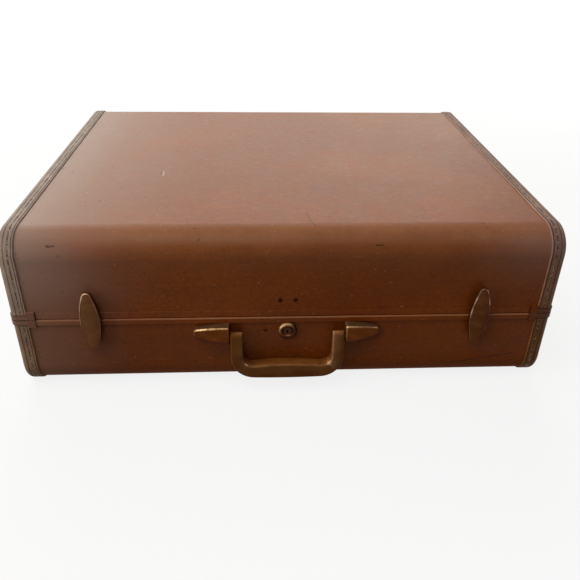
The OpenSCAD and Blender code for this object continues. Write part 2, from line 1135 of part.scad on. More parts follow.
// Strike on the lid: a plate, a tongue below the parting plane, and a loop for the bolt.
module lock_strike() {
  y0 = wall_t + strike_off;
  loop_h = bolt_h + 2 * case_wall;
  loop_z0 = bolt_z - loop_h / 2;
  loop_y1 = wall_t + bolt_y + bolt_t + loop_wall;
  color("DimGray")
    on_front()
      difference() {
        union() {
          translate([-strike_half, wall_t, strike_low])
            cube([2 * strike_half, strike_off + strike_t, strike_h]);
          translate([-tongue_half, y0, loop_z0])
            cube([2 * tongue_half, strike_t, strike_low - loop_z0 + eps]);
          translate([-tongue_half, y0, loop_z0])
            cube([2 * tongue_half, loop_y1 - y0, loop_h]);
        }
        translate([-tongue_half - eps, wall_t + bolt_y - free, bolt_z - bolt_h / 2 - free])
          cube([2 * (tongue_half + eps), bolt_t + 2 * free, bolt_h + 2 * free]);
        for (x = [-strike_rivet_x, strike_rivet_x])
          translate([x, 0, strike_rivet_z])
            rod_y(0, 3 * wall_t, rivet_r + run);
      }
}

module strike_rivets() {
  color("DimGray")
    for (x = [-strike_rivet_x, strike_rivet_x])
      on_front()
        translate([x, 0, strike_rivet_z])
          rivet(wall_t + strike_off + strike_t);
}

// Rivet with a low domed head at y = 0 and a shank len deep towards +Y.
module rivet(len) {
  high = rivet_head_h;
  ball = (rivet_head_r * rivet_head_r + high * high) / (2 * high);
  intersection() {
    translate([0, ball - high, 0])
      sphere(ball);
    rod_y(-high - eps, 0, rivet_head_r);
  }
  rod_y(0, len, rivet_r);
}

// Hinges

// One hinge leaf below the axis; own holds the knuckle spans it carries.
module hinge_leaf(own) {
  top = knuckle_r - slack;
  difference() {
    union() {
      translate([-hinge_w / 2, -hinge_out, -hinge_leaf_h])
        cube([hinge_w, hinge_leaf_t, hinge_leaf_h - top]);
      for (k = own) {
        rod_x(k[0], k[1], knuckle_r);
        translate([k[0], -hinge_out, -top - eps])
          cube([k[1] - k[0], hinge_leaf_t, top]);
      }
    }
    rod_x(-hinge_w, hinge_w, hinge_pin_r + run);
    for (dx = [-rivet_dx, rivet_dx])
      translate([dx, 0, -rivet_dz])
        rod_y(-hinge_out - eps, 0, rivet_r + run);
  }
}

module at_hinges() {
  for (x = [-hinge_x, hinge_x])
    translate([x, hinge_y, z_part])
      children();
}

module tray_hinge_leaves() {
  k = hinge_w / 2;
  color("DarkGoldenrod")
    at_hinges()
      hinge_leaf([[-k, knuckle_len - k], [k - knuckle_len, k]]);
}

module lid_hinge_leaves() {
  k = hinge_w / 2 - knuckle_len - free;
  color("DarkGoldenrod")
    at_hinges()
      mirror([0, 0, 1])
        hinge_leaf([[-k, k]]);
}

module hinge_pins() {
  color("Gray")
    at_hinges()
      rod_x(-hinge_w / 2, hinge_w / 2, hinge_pin_r);
}

module hinge_rivets(side) {
  color("DarkGoldenrod")
    at_hinge_rivets(side)
      translate([0, half_d + hinge_leaf_t, 0])
        mirror([0, 1, 0])
          rivet(wall_t + hinge_leaf_t);
}

module tray_hinge_rivets() {
  hinge_rivets(-1);
}

module lid_hinge_rivets() {
  hinge_rivets(1);
}

// Lid stays

// Places children on the right-hand stud of one half; side is -1 for the tray, 1 for the lid.
module at_stud(side) {
  translate([0, stay_y, z_part + side * stay_rise])
    children();
}

module stud_holes(side) {
  both_sides()
    at_stud(side)
      rod_x(panel_in - lining_t - eps, panel_out - stud_stop, stud_r + run);
}

module stay_studs(side) {
  x_head = stay_x - stay_t - slack;
  color("DimGray")
    both_sides()
      at_stud(side)
        union() {
          rod_x(x_head, panel_out - stud_stop, stud_r);
          rod_x(x_head - stud_head_t, x_head, stud_head_r);
        }
}

module tray_stay_studs() {
  stay_studs(-1);
}

module lid_stay_studs() {
  stay_studs(1);
}

// Arm that turns on the lid's stud and slides along the tray's stud.
module right_stay() {
  color("Silver")
    at_stud(1)
      translate([stay_x - stay_t / 2, 0, 0])
        along_x(stay_t)
          difference() {
            union() {
              circle(stay_w / 2);
              translate([-stay_w / 2, -stay_long])
                square([stay_w, stay_long]);
              translate([0, -stay_long])
                circle(stay_w / 2);
            }
            circle(stud_r + run);
            translate([-stud_r - slack, -stay_long])
              square([2 * (stud_r + slack), stay_long - 2 * stay_rise]);
            translate([0, -stay_long])
              circle(stud_r + slack);
            translate([0, -2 * stay_rise])
              circle(stud_r + slack);
          }
}

module left_stay() {
  mirror([1, 0, 0])
    right_stay();
}

// Feet on the hinge side

module feet(z) {
  ball = (foot_r * foot_r + foot_out * foot_out) / (2 * foot_out);
  color("DarkGoldenrod")
    for (x = [-foot_x, foot_x])
      translate([x, half_d, z])
        intersection() {
          translate([0, foot_out - ball, 0])
            sphere(ball);
          rod_y(0, foot_out + eps, foot_r);
        }
}

module tray_feet() {
  feet(bind_t + foot_up);
}

module lid_feet() {
  feet(z_top - foot_up);
}

// Lid

module lid_cover() {
  color("SaddleBrown")
    difference() {
      as_lid()
        cover_half_shell(lid_h);
      strike_holes();
      hinge_holes(1);
    }
}

module lid_right_end() {
  color("SaddleBrown")
    difference() {
      as_lid()
        end_panel(lid_h);
      stud_holes(1);
    }
}

module lid_left_end() {
  mirror([1, 0, 0])
    lid_right_end();
}

module lid_right_binding() {
  color("Sienna")
    as_lid()
      binding(lid_h);
}

module lid_left_binding() {
  mirror([1, 0, 0])
    lid_right_binding();
}

module lid_front_band() {
  color("SaddleBrown")
    as_lid()
      front_band(lid_h, lid_band_h, lid_band_t, band_bevel);
}

module lid_back_band() {
  color("SaddleBrown")
    as_lid()
      back_band(lid_h, lid_band_h, lid_band_t, band_bevel);
}

module lid_end_bands() {
  color("Sienna")
    as_lid()
      end_bands(lid_h);
}

module lid_lining() {
  color("BurlyWood")
    difference() {
      as_lid()
        lining(lid_h);
      translate([-strike_half - eps, -half_d, z_part])
        cube([2 * (strike_half + eps), wall_t + strike_off + strike_t + free, lip_up + strike_h + 2 * eps]);
      stud_holes(1);
    }
}

placed() tray_cover();
placed() tray_left_end();
placed() tray_right_end();
placed() tray_left_binding();
placed() tray_right_binding();
placed() tray_front_band();
placed() tray_back_band();
placed() tray_end_bands();
placed() tray_lip();
placed() tray_lining();
placed() packing_straps();
placed() strap_buckles();
placed() left_handle_bracket();
placed() right_handle_bracket();
placed() handle_pins();
placed() left_latch_base();
placed() right_latch_base();
placed() latch_pins();
placed() latch_springs();
placed() lock_bezel();
placed() lock_case();
placed() lock_rivet();
placed() tray_hinge_leaves();
placed() hinge_pins();
placed() tray_hinge_rivets();
placed() tray_stay_studs();
placed() tray_feet();
placed() lid_cover();
placed() lid_left_end();
placed() lid_right_end();
placed() lid_left_binding();
placed() lid_right_binding();
placed() lid_front_band();
placed() lid_back_band();
placed() lid_end_bands();
placed() lid_lining();
placed() lid_hinge_leaves();
placed() lid_hinge_rivets();
placed() latch_keepers();
placed() lock_strike();
placed() strike_rivets();
placed() lid_stay_studs();
placed() lid_feet();
placed() handle();
placed() left_latch_lever();
placed() right_latch_lever();
placed() lock_plug();
placed() lock_bolt();
placed() left_stay();
placed() right_stay();
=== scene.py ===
import json
import math
import random

import bmesh
import bpy
from mathutils import Matrix, Vector, noise


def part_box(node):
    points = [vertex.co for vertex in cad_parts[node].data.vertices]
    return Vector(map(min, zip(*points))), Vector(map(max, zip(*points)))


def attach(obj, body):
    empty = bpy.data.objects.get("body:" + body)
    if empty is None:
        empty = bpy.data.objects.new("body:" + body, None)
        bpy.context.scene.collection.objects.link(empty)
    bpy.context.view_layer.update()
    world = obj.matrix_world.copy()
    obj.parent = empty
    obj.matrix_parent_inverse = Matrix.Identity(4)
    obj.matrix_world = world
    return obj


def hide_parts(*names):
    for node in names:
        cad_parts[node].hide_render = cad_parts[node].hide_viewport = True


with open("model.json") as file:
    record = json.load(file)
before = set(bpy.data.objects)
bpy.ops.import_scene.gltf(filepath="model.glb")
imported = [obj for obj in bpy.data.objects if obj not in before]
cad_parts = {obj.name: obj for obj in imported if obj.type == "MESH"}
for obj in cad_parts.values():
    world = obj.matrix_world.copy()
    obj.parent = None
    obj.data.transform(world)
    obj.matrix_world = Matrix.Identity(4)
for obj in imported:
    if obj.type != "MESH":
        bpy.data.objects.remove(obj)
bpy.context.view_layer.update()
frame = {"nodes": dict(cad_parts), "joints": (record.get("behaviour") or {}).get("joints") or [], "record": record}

MM = 0.001
UP = Vector((0, 0, 1))
RIGHT = Vector((1, 0, 0))


def joint_at(name):
    """Place of a joint, from the frame's record."""
    return Vector(next(j["pos_m"] for j in frame["joints"] if j["name"] == name))


# Places that the frame gives

tray_low, tray_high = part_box("tray_cover")
lid_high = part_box("lid_cover")[1]
half_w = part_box("tray_right_binding")[1].x
front_y = tray_low.y
back_y = tray_high.y
part_z = joint_at("lid_hinge").z
lock_z = joint_at("key_turn").z
bracket_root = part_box("right_handle_bracket")[0].x
bracket_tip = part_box("right_handle_bracket")[1].x

# Sizes that scene pieces share with the solids

roll_r = 29 * MM
wall_t = 4 * MM
bind_t = tray_low.z
bind_flange = 18 * MM
bind_round = 7 * MM
bead_w = 1.8 * MM
bind_x = half_w - bind_flange
stitch_x = bind_x + 6 * MM
end_band_h = 6 * MM
tab_w = 9 * MM


def add_object(name, data):
    made = bpy.data.objects.new(name, data)
    bpy.context.scene.collection.objects.link(made)
    return made


# Camera

def aim_camera():
    """Camera at the photograph's viewing angle, for a square picture."""
    place = Vector((-32.9, -798.65, 492.5)) * MM
    yaw = math.radians(-3.46)
    pitch = math.radians(28.86)
    roll = math.radians(-1.19)
    picture_px = 580
    focal_px = 607.8
    axis_above_middle_px = 40
    right = Vector((math.cos(yaw), math.sin(yaw), 0))
    level = Vector((-math.sin(yaw), math.cos(yaw), 0))
    ahead = level * math.cos(pitch) - UP * math.sin(pitch)
    down = -(UP * math.cos(pitch) + level * math.sin(pitch))
    across = right * math.cos(roll) + down * math.sin(roll)
    upward = right * math.sin(roll) - down * math.cos(roll)
    camera = bpy.data.cameras.new("camera")
    camera.sensor_width = 36
    camera.lens = camera.sensor_width * focal_px / picture_px
    camera.shift_y = -axis_above_middle_px / picture_px
    holder = add_object("camera", camera)
    turn = Matrix((across, upward, -ahead)).transposed().to_4x4()
    holder.matrix_world = Matrix.Translation(place) @ turn
    bpy.context.scene.camera = holder


# Node helpers

class Nodes:
    """Short calls for the nodes of one tree."""

    def __init__(self, tree):
        self.tree = tree

    def made(self, kind, output, inputs=None, **settings):
        """Output of a new node whose inputs are fed by number or name."""
        node = self.tree.nodes.new(kind)
        for key, value in settings.items():
            setattr(node, key, value)
        for key, value in (inputs or {}).items():
            self.feed(node.inputs[key], value)
        return node.outputs[output]

    def feed(self, socket, value):
        """Links or sets a socket; a colour is written as three numbers."""
        if isinstance(value, bpy.types.NodeSocket):
            self.tree.links.new(value, socket)
        elif socket.type == "RGBA":
            socket.default_value = (*value, 1)
        else:
            socket.default_value = value

    def math(self, operation, a, b=0.0):
        return self.made("ShaderNodeMath", 0, {0: a, 1: b}, operation=operation)

    def seen_ray(self):
        """1 for a camera, glossy or transmission ray, 0 for a diffuse one."""
        ray = self.tree.nodes.new("ShaderNodeLightPath").outputs
        seen = self.math("MAXIMUM", ray["Is Camera Ray"], ray["Is Glossy Ray"])
        return self.math("MAXIMUM", seen, ray["Is Transmission Ray"])


class Finish(Nodes):
    """A material with one principled shader, and short calls for the nodes that feed it."""

    def __init__(self, name):
        self.material = bpy.data.materials.new(name)
        self.material.use_nodes = True
        super().__init__(self.material.node_tree)
        self.tree.nodes.clear()
        self.shader = self.tree.nodes.new("ShaderNodeBsdfPrincipled")
        out = self.tree.nodes.new("ShaderNodeOutputMaterial")
        self.feed(out.inputs["Surface"], self.shader.outputs["BSDF"])
        where = self.tree.nodes.new("ShaderNodeTexCoord")
        self.place, self.facing = where.outputs["Object"], where.outputs["Normal"]
        split = self.tree.nodes.new("ShaderNodeSeparateXYZ")
        self.feed(split.inputs[0], self.place)
        self.x, self.y, self.z = split.outputs
        self.base = None

    def set(self, **values):
        """Shader sockets by name, with _ for a space."""
        for key, value in values.items():
            self.feed(self.shader.inputs[key.replace("_", " ")], value)

    def times(self, product, *factors):
        for factor in factors:
            product = self.math("MULTIPLY", product, factor)
        return product

    def plus(self, total, *terms):
        for term in terms:
            total = self.math("ADD", total, term)
        return total

    def vector(self, operation, a, b=(0, 0, 0)):
        output = "Value" if operation in ("LENGTH", "DOT_PRODUCT") else "Vector"
        return self.made("ShaderNodeVectorMath", output, {0: a, 1: b}, operation=operation)

    def scaled(self, vector, factor):
        return self.made("ShaderNodeVectorMath", "Vector", {0: vector, "Scale": factor}, operation="SCALE")

    def stretched(self, size):
        """Object coordinates divided by one feature size, or by one for each axis."""
        return self.vector("DIVIDE", self.place, size if isinstance(size, tuple) else (size, size, size))

    def noise(self, size, detail=3.0, roughness=0.55, seed=0.0):
        """Noise with features of that size in metres, about 0.5 on average."""
        inputs = {"Vector": self.stretched(size), "W": seed, "Scale": 1}
        inputs.update({"Detail": detail, "Roughness": roughness})
        return self.made("ShaderNodeTexNoise", "Fac", inputs, noise_dimensions="4D")

    def cells(self, size):
        """Distance from the nearest of many scattered points, in units of size."""
        inputs = {"Vector": self.stretched(size), "Scale": 1}
        return self.made("ShaderNodeTexVoronoi", "Distance", inputs)

    def stored(self, name):
        """A value that the mesh stores at its points."""
        return self.made("ShaderNodeAttribute", "Fac", attribute_name=name)

    def ramp(self, value, low, high, to_low=0.0, to_high=1.0):
        """Smooth step of value from low to high."""
        inputs = dict(enumerate((value, low, high, to_low, to_high)))
        return self.made("ShaderNodeMapRange", 0, inputs, interpolation_type="SMOOTHSTEP")

    def apart(self, value, centre=0.0):
        return self.math("ABSOLUTE", self.plus(value, -centre))

    def near(self, value, centre, inner, outer):
        """1 within the inner distance from a centre, 0 beyond the outer one."""
        return self.ramp(self.apart(value, centre), inner, outer, 1, 0)

    def to_right(self, left=0.0, right=1.0, reach=0.2):
        """Goes from left to right within a reach of the case's middle."""
        return self.ramp(self.x, -reach, reach, left, right)

    def toward(self, direction):
        """Cosine of the angle between the surface's facing and a direction."""
        return self.vector("DOT_PRODUCT", self.facing, direction)

    def level(self, side=0.0, top=1.0):
        """Goes from side on upright faces to top on level ones."""
        return self.ramp(self.toward(UP), 0.5, 0.9, side, top)

    def mix(self, share, a, b):
        return self.made("ShaderNodeMix", 2, {"Factor": share, 6: a, 7: b}, data_type="RGBA")

    def paint(self, share, colour):
        """Lays a colour over the base colour by a share."""
        self.base = self.mix(share, self.base, colour)

    def shade(self, value, low, high):
        """Scales the base colour by a factor that goes from low to high as value goes from 0 to 1."""
        self.base = self.scaled(self.base, self.plus(self.times(value, high - low), low))

    def bump(self, height, distance, strength):
        inputs = {"Height": height, "Distance": distance, "Strength": strength}
        self.set(Normal=self.made("ShaderNodeBump", "Normal", inputs))

    def stroke(self, start, end, width):
        """Mask of a line from start to end, in metres, with ragged edges."""
        along = end - start
        wander = self.noise(4 * MM, seed=start.x * 40)
        moved = self.vector("ADD", self.place, self.times(self.plus(wander, -0.5), 2 * width))
        offset = self.vector("SUBTRACT", moved, start)
        share = self.times(self.vector("DOT_PRODUCT", offset, along), 1 / along.length_squared)
        nearest = self.scaled(along, self.made("ShaderNodeClamp", 0, {"Value": share}))
        distance = self.vector("LENGTH", self.vector("SUBTRACT", offset, nearest))
        return self.ramp(distance, 0.3 * width, width, 1, 0)


# Scratches on the covers, and the painted shadow of one nick: start, end, width in mm and strength

def on_front(x_mm, z_mm):
    return Vector((x_mm * MM, front_y, z_mm * MM))


def on_top(x_mm, y_mm):
    return Vector((x_mm * MM, front_y + y_mm * MM, lid_high.z))


def on_roll(x_mm, tilt_deg):
    """Place on the lid's front roll, by the tilt of its surface from level."""
    a = math.radians(tilt_deg)
    return Vector((x_mm * MM, front_y + roll_r * (1 - math.sin(a)), lid_high.z - roll_r * (1 - math.cos(a))))


DARK_MARKS = [
    (on_top(22.5, 57), on_top(24, 41), 1.2, 0.8),
    (on_top(24, 41), on_top(29.5, 24), 1.2, 0.8),
    # painted shadow at the left of the pale nick on the top
    (on_top(-157, 180), on_top(-156, 170), 1.2, 0.6),
    (on_front(173, 18.5), on_front(197, 25), 1.1, 0.85),
    (on_front(197, 25), on_front(269, 37.6), 1.2, 0.9),
    (on_roll(-253, 57), on_roll(-246, 57), 1.6, 0.75),
    (on_roll(94, 60), on_roll(102, 60), 1.2, 0.85),
]
PALE_MARKS = [
    (on_top(-153.5, 182), on_top(-152.5, 168), 1.7, 0.85),
    (on_front(128, 107), on_front(131, 107), 0.8, 0.8),
]


# Materials, one for each slot of the record and one for the thread

def cover_ground(f, cloud, mottles):
    """Brown cloth, deeper low on the right, mottled, with tan patches on the top, and painted shade below the
    parting line.
    """
    deep = f.times(
        f.ramp(f.x, -0.12, 0.10),
        f.ramp(f.x, 0.20, 0.29, 1, 0.6),
        f.ramp(f.z, part_z + 0.01, part_z + 0.05, 1, 0),
    )
    darker = f.mix(deep, (0.205, 0.046, 0.0050), (0.203, 0.0395, 0.0008))
    lighter = f.mix(deep, (0.245, 0.060, 0.0075), (0.243, 0.0520, 0.0012))
    f.base = f.mix(f.ramp(cloud, 0.35, 0.68), darker, lighter)
    for mottle, contrast in mottles:
        f.shade(mottle, 1 - contrast, 1 + contrast)
    patch = f.noise((0.008, 0.006, 0.005), detail=4, roughness=0.65, seed=51)
    f.shade(f.times(f.plus(patch, -0.5), f.level(0.40, 0.50)), 1.0, 2.0)
    f.paint(f.times(f.ramp(patch, 0.48, 0.72), f.level(0, 0.20)), (0.26, 0.150, 0.075))
    # painted shade: the tray, below the parting line, is darker
    f.shade(f.ramp(f.z, part_z - 0.05, part_z, 1, 0), 1.0, 0.88)


def cover_fade_and_sheen(f, cloud, blotch):
    """Fading with a painted sheen at the left, and painted sheen along the front roll and towards both ends."""
    wandering_x = f.plus(f.x, f.times(f.plus(cloud, -0.5), 0.12))
    fade_end = f.ramp(f.z, 0.07, 0.15, -0.17, -0.10)
    # fade at the left, partly a painted sheen, stronger higher up
    faded_and_sheen = f.times(f.ramp(wandering_x, -0.33, fade_end, 1, 0), f.ramp(f.z, 0.06, 0.15, 0.45, 0.85))
    f.paint(faded_and_sheen, (0.29, 0.155, 0.112))
    forward = f.ramp(f.y, front_y + roll_r, front_y + 0.55 * roll_r)
    depth = f.plus(f.times(f.z, -1), lid_high.z)
    # painted sheen along the front roll, in place of a lamp's reflection
    roll_painted_sheen = f.times(
        forward,
        f.plus(f.ramp(depth, 7 * MM, 18 * MM, 0.25, 0), f.ramp(depth, 18 * MM, 55 * MM, 0.15, 0)),
        f.ramp(blotch, 0.3, 0.7, 0.85, 1.15),
        f.ramp(f.x, -0.30, -0.12, 0.55, 1),
    )
    f.paint(roll_painted_sheen, (0.42, 0.20, 0.110))
    # painted sheen at the left end of the front
    left_end_painted_sheen = f.times(
        forward,
        f.ramp(f.x, -0.30, -0.18, 1, 0),
        f.ramp(f.z, part_z, part_z + 0.06, 0.15, 0.5),
        f.ramp(depth, 4 * MM, 24 * MM, 0.35, 1),
    )
    f.paint(left_end_painted_sheen, (0.52, 0.32, 0.235))
    # painted sheen towards both ends, weaker on the top at the right
    right_end_painted_sheen = f.times(f.ramp(f.x, 0.18, 0.295, 0, 0.24), f.level(1, 0.35))
    ends = f.times(
        f.plus(f.ramp(f.x, -0.295, -0.22, 0.27, 0), right_end_painted_sheen),
        f.ramp(f.z, part_z + 0.02, part_z + 0.09),
        f.near(f.toward(RIGHT), 0, 0.3, 0.8),
    )
    f.paint(ends, (0.39, 0.31, 0.28))


def cover_specks(f, fine):
    """Fine nicks, and dark specks, dark blots and pale flecks in some places only."""
    def some(size, seed, start, share):
        return f.ramp(f.noise(size, seed=seed), start, start + 0.06, 0, share)

    for seed, colour in ((31, (0.07, 0.018, 0.004)), (37, (0.40, 0.21, 0.12))):
        nick = f.ramp(f.noise((0.011, 0.0013, 0.0013), seed=seed), 0.64, 0.72, 0, 0.35)
        f.paint(nick, colour)
    speck = f.ramp(f.cells(7 * MM), 0.08, 0.17, some(0.02, 11, 0.56, 0.65), 0)
    f.paint(speck, (0.045, 0.012, 0.004))
    ragged = f.plus(f.cells(17 * MM), f.times(fine, 0.4))
    blot = f.ramp(ragged, 0.24, 0.34, some(0.03, 29, 0.50, f.level(0.35, 0.6)), 0)
    f.paint(blot, (0.05, 0.016, 0.006))
    fleck = f.ramp(f.cells(11 * MM), 0.06, 0.12, some(0.03, 23, 0.50, 0.55), 0)
    f.paint(fleck, (0.44, 0.23, 0.12))


def cover_bands(f, streak):
    """Rubbed edge of the tray's band with a painted highlight, dark top of the lid's band, front tabs, and end
    bands with seams.
    """
    beside = f.apart(f.x)
    proud = f.ramp(f.y, front_y - 0.1 * MM, front_y - 0.3 * MM)
    # rubbed edge of the tray's band, lightened as a painted highlight
    edge = f.times(
        f.ramp(f.y, front_y - 0.9 * MM, front_y - 1.1 * MM),
        f.ramp(f.z, part_z - 1.9 * MM, part_z - 1.5 * MM),
        f.ramp(f.z, part_z - 0.35 * MM, part_z - 0.3 * MM, 1, 0),
        f.ramp(f.plus(f.x, f.times(streak, 0.1)), -0.18, -0.02, 0.35, 0.85),
    )
    f.paint(edge, (0.34, 0.14, 0.06))
    band_top = f.near(f.z, part_z + 8.2 * MM, 0.3 * MM, 0.5 * MM)
    f.shade(f.times(band_top, proud), 1.0, 0.72)
    band = f.near(f.z, part_z, 10 * MM, 10.5 * MM)
    tab = f.times(band, proud, f.ramp(beside, bind_x - tab_w - 0.4 * MM, bind_x - tab_w))
    f.shade(f.times(tab, f.to_right(0.5, 1)), 1.0, 0.72)
    tab_end = f.near(beside, bind_x - tab_w + 0.3 * MM, 0.3 * MM, 0.8 * MM)
    f.shade(f.times(tab, tab_end), 1.0, 0.5)
    over = f.times(band, f.ramp(beside, bind_x - 0.4 * MM, bind_x))
    worn = f.mix(f.to_right(), (0.29, 0.17, 0.115), (0.14, 0.053, 0.022))
    f.paint(f.times(over, 0.75), worn)
    seam = f.plus(
        f.near(f.z, part_z, 0.5 * MM, 1.0 * MM),
        f.ramp(f.apart(f.z, part_z), end_band_h - 0.9 * MM, end_band_h - 0.3 * MM),
    )
    f.shade(f.times(over, seam), 1.0, 0.55)


def cover_leatherette(f):
    """Smooth lacquered cloth, mottled, streaked along its length, fading at the left with a painted sheen there,
    with painted sheen along its front roll and ends, and with scratches.
    """
    cloud = f.noise((0.16, 0.12, 0.12), detail=4)
    blotch = f.noise((0.03, 0.022, 0.022), detail=5, seed=3)
    streak = f.noise((0.12, 0.0035, 0.0035), seed=7)
    fine = f.noise(0.003, detail=4, roughness=0.7, seed=13)
    cover_ground(f, cloud, ((blotch, 0.22), (streak, 0.18), (fine, 0.50)))
    cover_fade_and_sheen(f, cloud, blotch)
    cover_specks(f, fine)
    cover_bands(f, streak)
    for marks, colour in ((DARK_MARKS, (0.035, 0.009, 0.003)), (PALE_MARKS, (0.42, 0.26, 0.17))):
        for start, end, width, strength in marks:
            f.paint(f.times(f.stroke(start, end, width * MM), strength), colour)
    scuffed = f.ramp(f.z, 10 * MM, 50 * MM, 0.35, 0)
    f.set(Specular_IOR_Level=0.12, Roughness=f.plus(f.times(blotch, 0.16), 0.34, scuffed))
    grain = f.noise(0.9 * MM, detail=2)
    warp = f.noise(0.05, detail=2, seed=5)
    f.bump(f.plus(f.times(grain, 0.05), f.times(warp, 0.6)), 0.5 * MM, 0.5)


def binding_lines(f):
    """Bead on the inner edge with painted highlight and shade, darker strip with three grooves of painted shade,
    and a rubbed outer edge.
    """
    beside = f.apart(f.x)
    bead_x = bind_x + bead_w
    round_x = half_w - bind_round
    strip = f.times(
        f.ramp(beside, bead_x, bead_x + 0.5 * MM),
        f.ramp(beside, round_x - 0.8 * MM, round_x, 1, 0),
    )
    f.shade(f.times(strip, f.to_right(0.2, 1)), 1.0, 0.88)
    bead = f.ramp(beside, bead_x, bead_x + 0.4 * MM, 1, 0)
    # painted highlight on the bead, strongest on the right
    f.shade(f.times(bead, f.to_right()), 1.0, 1.25)
    # painted shade on the bead at the left, on the top
    left_bead_shade = f.times(f.ramp(f.z, 0.190, 0.199), f.to_right(1, 0))
    f.shade(f.times(bead, left_bead_shade), 1.0, 0.82)
    grooves = [
        (bead_x + 0.4 * MM, 0.3 * MM, 0.65),
        (stitch_x, 0.7 * MM, 0.35),
        (round_x - 0.4 * MM, 0.3 * MM, 0.6),
    ]
    # painted shade in the grooves
    for x, half, strength in grooves:
        groove = f.times(f.near(beside, x, half, half + 0.5 * MM), f.to_right(0.4 * strength, strength))
        f.paint(groove, (0.040, 0.022, 0.012))
    rubbed = f.times(
        f.ramp(beside, half_w - 7 * MM, half_w - 3 * MM),
        f.ramp(beside, half_w - 1.2 * MM, half_w - 0.3 * MM, 1, 0),
        f.ramp(f.noise(0.012, detail=5, seed=9), 0.38, 0.6, 0, 0.5),
    )
    f.paint(rubbed, (0.38, 0.29, 0.21))


def binding_leather(f):
    """Pebbled leather, taupe at the left from fading and a painted sheen, browner at the right, deeper towards the
    bottom.
    """
    cloud = f.noise(0.03, detail=5)
    fibre = f.noise(0.0025, detail=4, seed=2)
    height = f.ramp(f.z, 0.05, 0.14)
    brown = f.mix(height, (0.232, 0.094, 0.030), (0.31, 0.160, 0.092))
    brown = f.mix(f.ramp(f.z, 0.14, 0.19), brown, (0.318, 0.194, 0.162))
    # taupe at the left: fading, and a painted sheen from the left
    faded_and_sheen = f.mix(height, (0.37, 0.215, 0.122), (0.51, 0.368, 0.282))
    faded_and_sheen = f.mix(f.ramp(f.z, 0.165, 0.198), faded_and_sheen, (0.345, 0.254, 0.216))
    sideways = f.apart(f.toward(RIGHT))
    f.base = f.mix(f.times(f.to_right(1, 0), f.ramp(sideways, 0.5, 0.95, 1, 0.45)), brown, faded_and_sheen)
    f.shade(f.ramp(cloud, 0.35, 0.7), 0.82, 1.18)
    f.shade(fibre, 0.65, 1.35)
    binding_lines(f)
    f.set(Specular_IOR_Level=0.10, Roughness=f.plus(f.times(fibre, 0.25), 0.42))
    f.bump(f.plus(f.times(f.cells(1.3 * MM), 0.3), fibre), 0.3 * MM, 0.6)


def bracket_rub_and_highlight(f):
    """How much the brackets' edges are rubbed and given a painted highlight: most at the tips, more on the left
    one than on the right.
    """
    left = f.ramp(f.x, 2.7 * MM - bracket_tip, 28.7 * MM - bracket_tip, 1.8, 0.5)
    past_left = f.ramp(f.x, 5.7 * MM - bracket_root, 10.7 * MM - bracket_root, 0, 0.5)
    right = f.ramp(f.x, bracket_root + 1.3 * MM, bracket_root + 8.3 * MM, 1, 0.4)
    right_tip = f.ramp(f.x, bracket_tip - 9.7 * MM, bracket_tip - 5.7 * MM, 0, 0.8)
    return f.plus(f.times(f.plus(left, past_left), right), right_tip)


